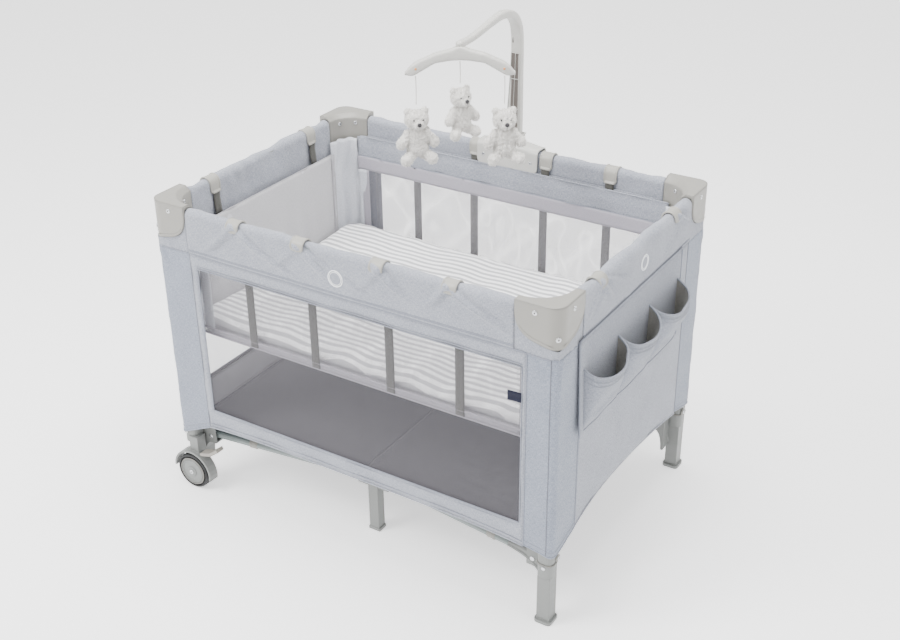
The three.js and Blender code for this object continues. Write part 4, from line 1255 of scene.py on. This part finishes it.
def make_wheel_details():
    for side, sy in (("front_left", -1), ("back_left", 1)):
        x, y, z = WHEEL_X, sy * WHEEL_Y, WHEEL_Z
        build = Build(f"wheel_face_{side}")
        out = sy * WHEEL_FACE
        build.disc((x, y + out - sy * 0.001, z), (0, sy, 0), 0.0340, 0.0014, MOULDED, dome=0.05, sides=48)
        for r, forward, thick, material in ((0.0300, 0.0003, 0.0017, MOULDED),
                                            (0.0348, -0.0002, 0.0016, CASTING)):
            ring = wheel_ring(x, y + out + sy * forward, z, r, 56)
            build.tube(ring, thick, material, sides=8, closed=True)
        build.disc((x, y + out, z), (0, sy, 0), 0.013, 0.0030, MOULDED, dome=0.2, sides=32)
        fastener(build, (x, y + out + sy * 0.0030, z), (0, sy, 0), radius=0.0058, depth=0.0026)
        build.make(f"wheel_{side}", "grey_moulding")
        tread = Build(f"tread_grooves_{side}")
        for offset in (-0.004, 0.004):
            groove = wheel_ring(x, y + offset, z, WHEEL_TREAD, 72)
            tread.tube(groove, 0.0006, TREAD, sides=6, closed=True)
        tread.make(f"wheel_{side}", "tread")
        bolts = Build(f"bracket_rivets_{side}")
        fastener(bolts, (-0.496, sy * 0.352, 0.150), (0, sy, 0), radius=0.0058, dark=False)
        fastener(bolts, (-0.444, sy * 0.322, TUBE_Z), (0, sy, 0), radius=0.0055, dark=False)
        fastener(bolts, (-0.504, sy * 0.325, 0.162), (-1, 0, 0), radius=0.0055)
        bolts.make(f"leg_{side}", "grey_moulding")
    for side, sy in (("front_right", -1), ("back_right", 1)):
        bolts = Build(f"bracket_rivets_{side}")
        fastener(bolts, (0.444, sy * 0.322, TUBE_Z), (0, sy, 0), radius=0.0058, dark=False)
        fastener(bolts, (POST_X, sy * 0.352, 0.148), (0, sy, 0), radius=0.0045, dark=False)
        bolts.disc((0.5045, sy * 0.325, 0.166), (1, 0, 0), 0.0085, 0.0024, CASTING, dome=0.1)
        fastener(bolts, (0.5068, sy * 0.325, 0.166), (1, 0, 0), radius=0.0046)
        collar = [(POST_X + a, sy * (POST_Y + b), FOOT_COLLAR_Z)
                  for a, b in rounded_section(0.0376, 0.0376, 0.0128, 6)]
        bolts.tube(collar, 0.0016, CASTING, sides=8, closed=True)
        bolts.make(f"leg_{side}", "grey_moulding")
        # a curved web reaches along the tube, outside it
        web = Build(f"foot_web_{side}")
        f = np.linspace(0, 1, 18)
        low_x, low_z = curve(f, 0.385, 0.468, 0.4745), curve(f, 0.148, TUBE_Z, 0.072)
        web_y = np.full_like(f, sy * WEB_Y)
        rows = np.stack([np.stack([low_x, web_y, edge_z], axis=-1)
                         for edge_z in (low_z, np.full_like(f, WEB_TOP))], axis=1)
        web.grid(rows if sy < 0 else rows[::-1], MOULDED)
        web.tube(rows[:, 0], 0.0024, MOULDED, sides=8)
        web.make(f"leg_{side}", "grey_moulding", thickness=0.0032)


def ring_round_tube(build, centre, along, radius, length, material, flare=0.0):
    """A short collar round a base tube."""
    along = np.array(along, float)
    along /= np.linalg.norm(along)
    path = [np.array(centre) + along * length * (f - 0.5) for f in (0, 0.02, 0.1, 0.5, 0.9, 0.98, 1)]
    radii = [radius * k for k in (0.985, 1.0, 1.08 + flare, 1.08, 1.08 + flare, 1.0, 0.985)]
    build.tube(path, radii, material, sides=24)


def make_base_details():
    for name, (sx, sy) in CORNERS.items():
        start, end = Vector((sx * 0.444, sy * 0.306, TUBE_Z)), Vector((sx * 0.026, sy * 0.256, TUBE_Z))
        along = end - start
        build = Build(f"tube_collar_{name}")
        at = start + along * 0.27
        ring_round_tube(build, at, along, 0.0102, 0.022, CASTING, flare=0.05)
        build.make(f"base_tube_{name}", "grey_moulding")
        tape = Build(f"tube_tape_{name}")
        at = start + along * 0.945
        ring_round_tube(tape, at, along, 0.0106, 0.024, WHITE_TAPE, flare=0.03)
        tape.make(f"base_tube_{name}", "webbing")
    for side, sy in (("front", -1), ("back", 1)):
        bolts = Build(f"mid_foot_rivets_{side}")
        for x in (-0.026, 0.026):
            fastener(bolts, (x, sy * 0.272, TUBE_Z), (0, sy, 0), radius=0.0058, dark=False)
        bolts.make(f"mid_foot_{side}", "grey_moulding")


make_wheel_details()
make_base_details()


# ---------------------------------------------------------------- mobile
def joined(rings):
    """Rings of points, each with its first point again at its end."""
    rings = np.array(rings)
    return np.concatenate([rings, rings[:, :1]], axis=1)


def catmull(points):
    per = 10
    p = [Vector(q) for q in points]
    p = [2 * p[0] - p[1], *p, 2 * p[-1] - p[-2]]
    out = []
    for i in range(1, len(p) - 2):
        for k in range(per):
            t = k / per
            out.append(0.5 * ((2 * p[i]) + (p[i + 1] - p[i - 1]) * t + (2 * p[i - 1] - 5 * p[i] + 4 * p[i + 1]
                       - p[i + 2]) * t * t + (3 * p[i] - p[i - 1] - 3 * p[i + 1] + p[i + 2]) * t ** 3))
    return out + [p[-2]]


def make_mobile_arm():
    def on_arm(y, z):
        """The arm leans to the right as it reaches over the yard."""
        return (MAST_X + 0.0629 * (MAST_Y - y) - 0.006 * (1 - smoothstep(z, 0.76, 0.99)), y, z)

    y = MAST_Y
    path = catmull([on_arm(y, 0.690), on_arm(y, 0.780), on_arm(y, 0.900), on_arm(y, 0.985),
                    on_arm(y - 0.008, 1.038),
                    on_arm(y - 0.036, 1.070), on_arm(y - 0.084, 1.082), on_arm(y - 0.140, 1.078),
                    on_arm(y - 0.195, 1.071), on_arm(y - 0.245, 1.067), on_arm(0.084, 1.068)])
    build = Build("mobile_mast")
    rings = []
    count = len(path)
    for i, p in enumerate(path):
        ahead = (path[min(i + 1, count - 1)] - path[max(i - 1, 0)]).normalized()
        side = Vector((1, 0.0629, 0)).normalized()
        other = ahead.cross(side).normalized()
        f = i / (count - 1)
        root = 0.012 * (1 - smoothstep(p.z, 0.76, 0.99)) * (f < 0.4)
        width = 0.028 - 0.011 * smoothstep(f, 0.35, 0.75) + root
        depth = 0.020 - 0.005 * smoothstep(f, 0.4, 0.9)
        close = 0.35 if i == count - 1 else 1.0
        rings.append([tuple(p + side * a * close + other * b * close)
                      for a, b in rounded_section(width, depth, 0.0055)])
    rings = joined(rings)
    build.grid(rings, PALE)
    end = rings[-1, :-1]
    build.grid(np.array([end, np.repeat(end.mean(axis=0)[None], len(end), axis=0)]), PALE)
    # a ribbed channel faces the yard, its face painted dark as shade in the recess
    face = y - 0.0102
    z = np.linspace(0.768, 0.974, 40)
    middle, half = [on_arm(y, v)[0] for v in z], 0.0150 - 0.0050 * smoothstep(z, 0.768, 0.974)
    zz, side = np.meshgrid(z, np.linspace(-1, 1, 6), indexing="ij")
    across = np.array(middle)[:, None] + half[:, None] * side
    build.grid(np.stack([across, np.full_like(zz, face - 0.0003), zz], axis=-1), RECESS_SHADE)
    rim = [(m - h - 0.0006, face - 0.0004, v) for m, h, v in zip(middle, half, z)]
    rim += [(m + h + 0.0006, face - 0.0004, v) for m, h, v in zip(middle[::-1], half[::-1], z[::-1])]
    build.tube(rim, 0.0012, PALE, sides=6, closed=True)
    build.tube([(m + 0.001, face - 0.0006, v) for m, v in zip(middle, z)], 0.0009, PALE, sides=6)
    for k in (13, 27):
        rung = [(middle[k] + end * half[k], face - 0.0006, z[k]) for end in (-1, 1)]
        build.tube(rung, 0.0011, PALE, sides=6)
    # a short dark line near the mast's top, painted in the same recess shade
    build.tube([(MAST_X - 0.006, face - 0.0006, v) for v in (0.998, 1.010)], 0.0014, RECESS_SHADE, sides=6)
    build.make("mobile", "pale_moulding", replaces=["mobile_arm"])


def make_hanger():
    half = 0.120
    along = np.linspace(-half, half, 81)
    a = np.abs(along)
    upper = np.interp(a, [0, 0.010, 0.020, 0.054, 0.098, 0.112, 0.1185, half],
                      [1.0665, 1.0625, 1.0575, 1.0490, 1.0290, 1.0170, 1.0085, 1.0045])
    lower = np.interp(a, [0, 0.020, 0.054, 0.075, 0.100, 0.112, half],
                      [1.0340, 1.0330, 1.0275, 1.0150, 1.0000, 0.9985, 1.0015])
    kernel = hump(np.arange(-4, 5), 0, 1.6)
    kernel /= kernel.sum()
    upper, lower = (np.convolve(np.pad(v, 4, mode="edge"), kernel, "valid") for v in (upper, lower))
    width = 0.022 * (1 - 0.45 * smoothstep(a, 0.100, half))
    d = Vector((math.cos(HANGER_TURN), math.sin(HANGER_TURN), 0))
    n = Vector((-math.sin(HANGER_TURN), math.cos(HANGER_TURN), 0))
    build = Build("mobile_bow")
    rings = []
    for at, top, low, w in zip(along, upper, lower, width):
        thick = max(top - low, 0.004)
        section = rounded_section(w, thick, min(0.0060, thick * 0.45))
        middle = Vector((HANGER.x, HANGER.y, (top + low) / 2)) + d * at
        rings.append([tuple(middle + n * p + Vector((0, 0, q))) for p, q in section])
    rings = joined(rings)
    build.grid(rings[:, ::-1], PALE)
    for ring in (rings[0, :-1], rings[-1, :-1]):
        centre = np.repeat(ring.mean(axis=0)[None], len(ring), axis=0)
        build.grid(np.array([ring, centre]), PALE)
    for end in (-1, 1):
        spot = Vector((HANGER.x, HANGER.y, 0)) + d * end * 0.096 - n * 0.0108
        spot.z = 1.0165
        build.disc(spot, -n, 0.0026, 0.0012, ORANGE)
    build.make("mobile_hanger", "pale_moulding", replaces=["mobile_hanger"])


def make_clamp():
    """A moulded saddle over the rail, with rounded lower corners, and the socket that holds the mast."""
    middle, half, corner, edge, y_in, y_out = 0.005, 0.083, 0.014, 0.012, 0.3225, 0.3655
    build = Build("clamp_saddle")
    rows = []
    for x in np.linspace(middle - half, middle + half, 110):
        u = abs(x - middle)
        over = min(max((u - half + corner) / corner, 0.0), 1.0)
        low = 0.700 + corner * (1 - math.sqrt(1 - over * over))
        top = 0.764 - 0.006 * smoothstep(u / half, 0.35, 1.0)
        up = np.linspace(low, top - edge, 8)
        turn = np.radians(np.linspace(0, 90, 8))
        inner = [(y_in, z) for z in up] + [(y_in + edge - edge * math.cos(a), top - edge + edge * math.sin(a))
                                           for a in turn[1:]]
        outer = [(y_out + y_in - y, z) for y, z in inner[::-1]]
        rows.append([(x, y, z) for y, z in inner + outer])
    build.grid(np.array(rows), PALE)
    build.make("mobile", "pale_moulding", thickness=0.003, replaces=["mobile_clamp"])
    socket = Build("clamp_socket")
    levels = ((0.696, 0.02), (0.696, 0.90), (0.698, 1.0), (0.768, 1.0), (0.770, 0.92), (0.770, 0.02))
    section = rounded_section(0.040, 0.0265, 0.006)
    rings = np.array([[(MAST_X + a * k, MAST_Y + b * k, z) for a, b in section] for z, k in levels])
    socket.grid(np.concatenate([rings, rings[:, :1]], axis=1), PALE)
    socket.make("mobile", "pale_moulding")


def make_clamp_details():
    build = Build("clamp_details")
    for x in (-0.060, 0.070):
        fastener(build, (x, 0.3216, 0.726), (0, -1, 0), radius=0.0045)
    build.tube([(MAST_X + a * 0.0185, MAST_Y + b * 0.0145, 0.7705) for a, b in
                ((-1, -1), (0, -1), (1, -1), (1, 0), (1, 1), (0, 1), (-1, 1), (-1, 0))],
               0.0018, PALE, sides=8, closed=True)
    build.make("mobile", "pale_moulding")


make_mobile_arm()
make_hanger()
make_clamp()
make_clamp_details()


# ---------------------------------------------------------------- plush bears
def ball(build_list, centre, radii):
    build_list.append((Vector(centre), Vector(radii)))


def make_bear(side, seed, yaw):
    height, top = TOY_HEIGHT[side], TOY_TOP[side]
    k = height / 0.134
    foot = hanger_point(STRING_AT[side], top - height)
    front = Vector((math.sin(yaw), -math.cos(yaw), 0))
    right = Vector((math.cos(yaw), math.sin(yaw), 0))

    def at(x, y, z):
        """x to the bear's left as seen, y forward, z up from its lowest point."""
        return foot + k * (right * x + front * y + Vector((0, 0, z)))

    balls = []
    ball(balls, at(0, 0, 0.052), (0.0255, 0.0210, 0.0300))
    ball(balls, at(0, 0.003, 0.036), (0.0250, 0.0210, 0.0195))
    ball(balls, at(0, 0.002, 0.100), (0.0268, 0.0215, 0.0225))
    ball(balls, at(0, 0.020, 0.0935), (0.0122, 0.0118, 0.0098))
    for s in (-1, 1):
        # an ear, then the three balls of an arm and of a leg
        ball(balls, at(s * 0.0190, -0.001, 0.1185), (0.0088, 0.0064, 0.0086))
        for f, r in ((0.0, 0.0105), (0.5, 0.0100), (1.0, 0.0112)):
            ball(balls, at(s * (0.021 + 0.016 * f), 0.003 + 0.006 * f, 0.066 - 0.018 * f), (r, r, r * 1.15))
        for f, r in ((0.0, 0.0122), (0.5, 0.0115), (1.0, 0.0128)):
            ball(balls, at(s * (0.013 + 0.016 * f), 0.006 + 0.017 * f, 0.022 - 0.008 * f), (r, r * 1.05, r))
    verts, faces = [], []
    for centre, radii in balls:
        base = len(verts)
        rows, cols = 11, 18
        for i in range(rows + 1):
            phi = math.pi * i / rows
            for j in range(cols):
                a = math.tau * j / cols
                local = Vector((math.sin(phi) * math.cos(a) * radii.x, math.sin(phi) * math.sin(a) * radii.y,
                                math.cos(phi) * radii.z)) * k
                verts.append(centre + right * local.x + front * local.y + Vector((0, 0, local.z)))
        for i in range(rows):
            for j in range(cols):
                a, b = base + i * cols + j, base + i * cols + (j + 1) % cols
                faces.append((a, b, b + cols, a + cols))
    mesh = bpy.data.meshes.new(f"bear_{side}")
    mesh.from_pydata(verts, [], faces)
    obj = bpy.data.objects.new(f"bear_{side}", mesh)
    scene.collection.objects.link(obj)
    modifier(obj, "REMESH", mode="VOXEL", voxel_size=0.0022)
    modifier(obj, "SMOOTH", factor=0.5, iterations=4)
    settle(obj)
    data = obj.data
    co = np.array([v.co for v in data.vertices])
    no = np.array([v.normal for v in data.vertices])
    curl = ripple(co[:, 0] + co[:, 2] * 0.7, co[:, 1] - co[:, 2], seed, 0.008, 0.0017)
    curl += ripple(co[:, 0] - co[:, 2], co[:, 1] + co[:, 2] * 0.6, seed + 1, 0.0045, 0.0010)
    data.vertices.foreach_set("co", (co + no * curl[:, None]).ravel())
    data.materials.clear()
    data.materials.append(PLUSH)
    data.polygons.foreach_set("use_smooth", [True] * len(data.polygons))
    data.update()
    attach(obj, f"toy_{side}", [f"plush_toy_{side}"])
    make_pile(obj, side, seed, 16000, k)

    face = Build(f"bear_face_{side}")
    for s in (-1, 1):
        eye = at(s * 0.0104, 0.0208, 0.1045)
        face.disc(eye, front + right * s * 0.25, 0.0021 * k, 0.0022 * k, BLACK, sides=12)
    nose = at(0, 0.0305, 0.0965)
    face.disc(nose, front + Vector((0, 0, 0.35)), 0.0050 * k, 0.0042 * k, BLACK, sides=14)
    face.tube([at(0, 0.0318, 0.093), at(0, 0.0322, 0.0905), at(0, 0.0314, 0.088)], 0.0005 * k, BLACK, sides=5)
    face.make(f"toy_{side}", "plush")


def make_pile(obj, side, seed, count, k):
    """Short pile as thin blades over the plush."""
    r = np.random.default_rng(seed)
    data = obj.data
    data.calc_loop_triangles()
    tri = np.array([t.vertices[:] for t in data.loop_triangles])
    co = np.array([v.co for v in data.vertices])
    no = np.array([v.normal for v in data.vertices])
    a, b, c = co[tri[:, 0]], co[tri[:, 1]], co[tri[:, 2]]
    area = np.linalg.norm(np.cross(b - a, c - a), axis=1)
    pick = r.choice(len(tri), count, p=area / area.sum())
    w = r.dirichlet((1, 1, 1), count)
    root = a[pick] * w[:, :1] + b[pick] * w[:, 1:2] + c[pick] * w[:, 2:]
    normal = no[tri[pick, 0]]
    lean = r.normal(0, 0.55, (count, 3)) + np.array([0, 0, -0.25])
    tip_dir = normal + lean
    tip_dir /= np.linalg.norm(tip_dir, axis=1)[:, None]
    length = r.uniform(0.0018, 0.0036, count)[:, None] * k
    side_dir = np.cross(tip_dir, r.normal(0, 1, (count, 3)))
    side_dir /= np.linalg.norm(side_dir, axis=1)[:, None]
    wide = 0.00042 * k
    root = root - normal * 0.0004
    middle = root + tip_dir * length * 0.55
    tip = root + tip_dir * length + r.normal(0, 0.0005, (count, 3))
    verts = np.stack([root - side_dir * wide, root + side_dir * wide, middle + side_dir * wide * 0.8,
                      middle - side_dir * wide * 0.8, tip], axis=1).reshape(-1, 3)
    faces = []
    for i in range(count):
        s = i * 5
        faces += [(s, s + 1, s + 2, s + 3), (s + 3, s + 2, s + 4)]
    mesh = bpy.data.meshes.new(f"pile_{side}")
    mesh.from_pydata(verts.tolist(), [], faces)
    mesh.materials.append(FUR)
    hair = bpy.data.objects.new(f"pile_{side}", mesh)
    scene.collection.objects.link(hair)
    attach(hair, f"toy_{side}")


make_bear("left", 701, math.radians(46))
make_bear("middle", 711, math.radians(64))
make_bear("right", 721, math.radians(42))

# ---------------------------------------------------------------- finishes on the CAD pieces
FINISHES = (
    ("corner_casting", CASTING), ("foot_bracket", MOULDED), ("wheel_bracket", MOULDED), ("wheel_", TREAD),
    ("brake_lever", DARKER), ("post_", TUBE), ("rail_latch", MOULDED), ("rail_", TUBE), ("base_tube", TUBE),
    ("cross_tube", TUBE), ("mid_foot", MOULDED), ("centre_hub", MOULDED), ("hub_pull_strap", WEBBING),
    ("mobile_clamp", PALE),
)


def paint_cad():
    for obj in bpy.data.objects:
        if "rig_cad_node" not in obj or obj.hide_render or obj.type != "MESH":
            continue
        name = obj["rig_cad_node"]
        for start, material in FINISHES:
            if name.startswith(start):
                for i in range(max(1, len(obj.material_slots))):
                    if i < len(obj.material_slots):
                        obj.material_slots[i].material = material
                    else:
                        obj.data.materials.append(material)
                break


paint_cad()


# ---------------------------------------------------------------- stage and light
def make_stage():
    mesh = bpy.data.meshes.new("stage_floor")
    s = 14
    mesh.from_pydata([(-s, -s, 0), (s, -s, 0), (s, s, 0), (-s, s, 0)], [], [(0, 1, 2, 3)])
    floor = bpy.data.objects.new("stage_floor", mesh)
    scene.collection.objects.link(floor)
    m = Material("stage floor", roughness=0.9)
    m.set("Base Color", (0.92, 0.92, 0.92, 1))
    m.set("Emission Color", (1, 1, 1, 1))
    m.set("Emission Strength", FLOOR_GLOW)
    mesh.materials.append(m.material)
    world = bpy.data.worlds.new("studio")
    scene.world = world
    world.use_nodes = True
    world.node_tree.nodes["Background"].inputs[0].default_value = (1, 1, 1, 1)
    world.node_tree.nodes["Background"].inputs[1].default_value = WORLD_LIGHT

    def area(name, stand, look, size, power):
        data = bpy.data.lights.new(name, "AREA")
        data.shape, data.size, data.energy = "SQUARE", size, power
        lamp = bpy.data.objects.new(name, data)
        lamp.location = stand
        lamp.rotation_mode = "QUATERNION"
        lamp.rotation_quaternion = (Vector(look) - Vector(stand)).to_track_quat("-Z", "Y")
        scene.collection.objects.link(lamp)

    area("key", (-1.6, -2.2, 3.0), (0, 0, 0.4), 1.4, 135)
    area("top", (0.2, 0.1, 3.0), (0, 0, 0.4), 1.6, 110)
    area("fill", (2.6, -0.8, 1.8), (0, 0, 0.4), 2.0, 8)


make_stage()
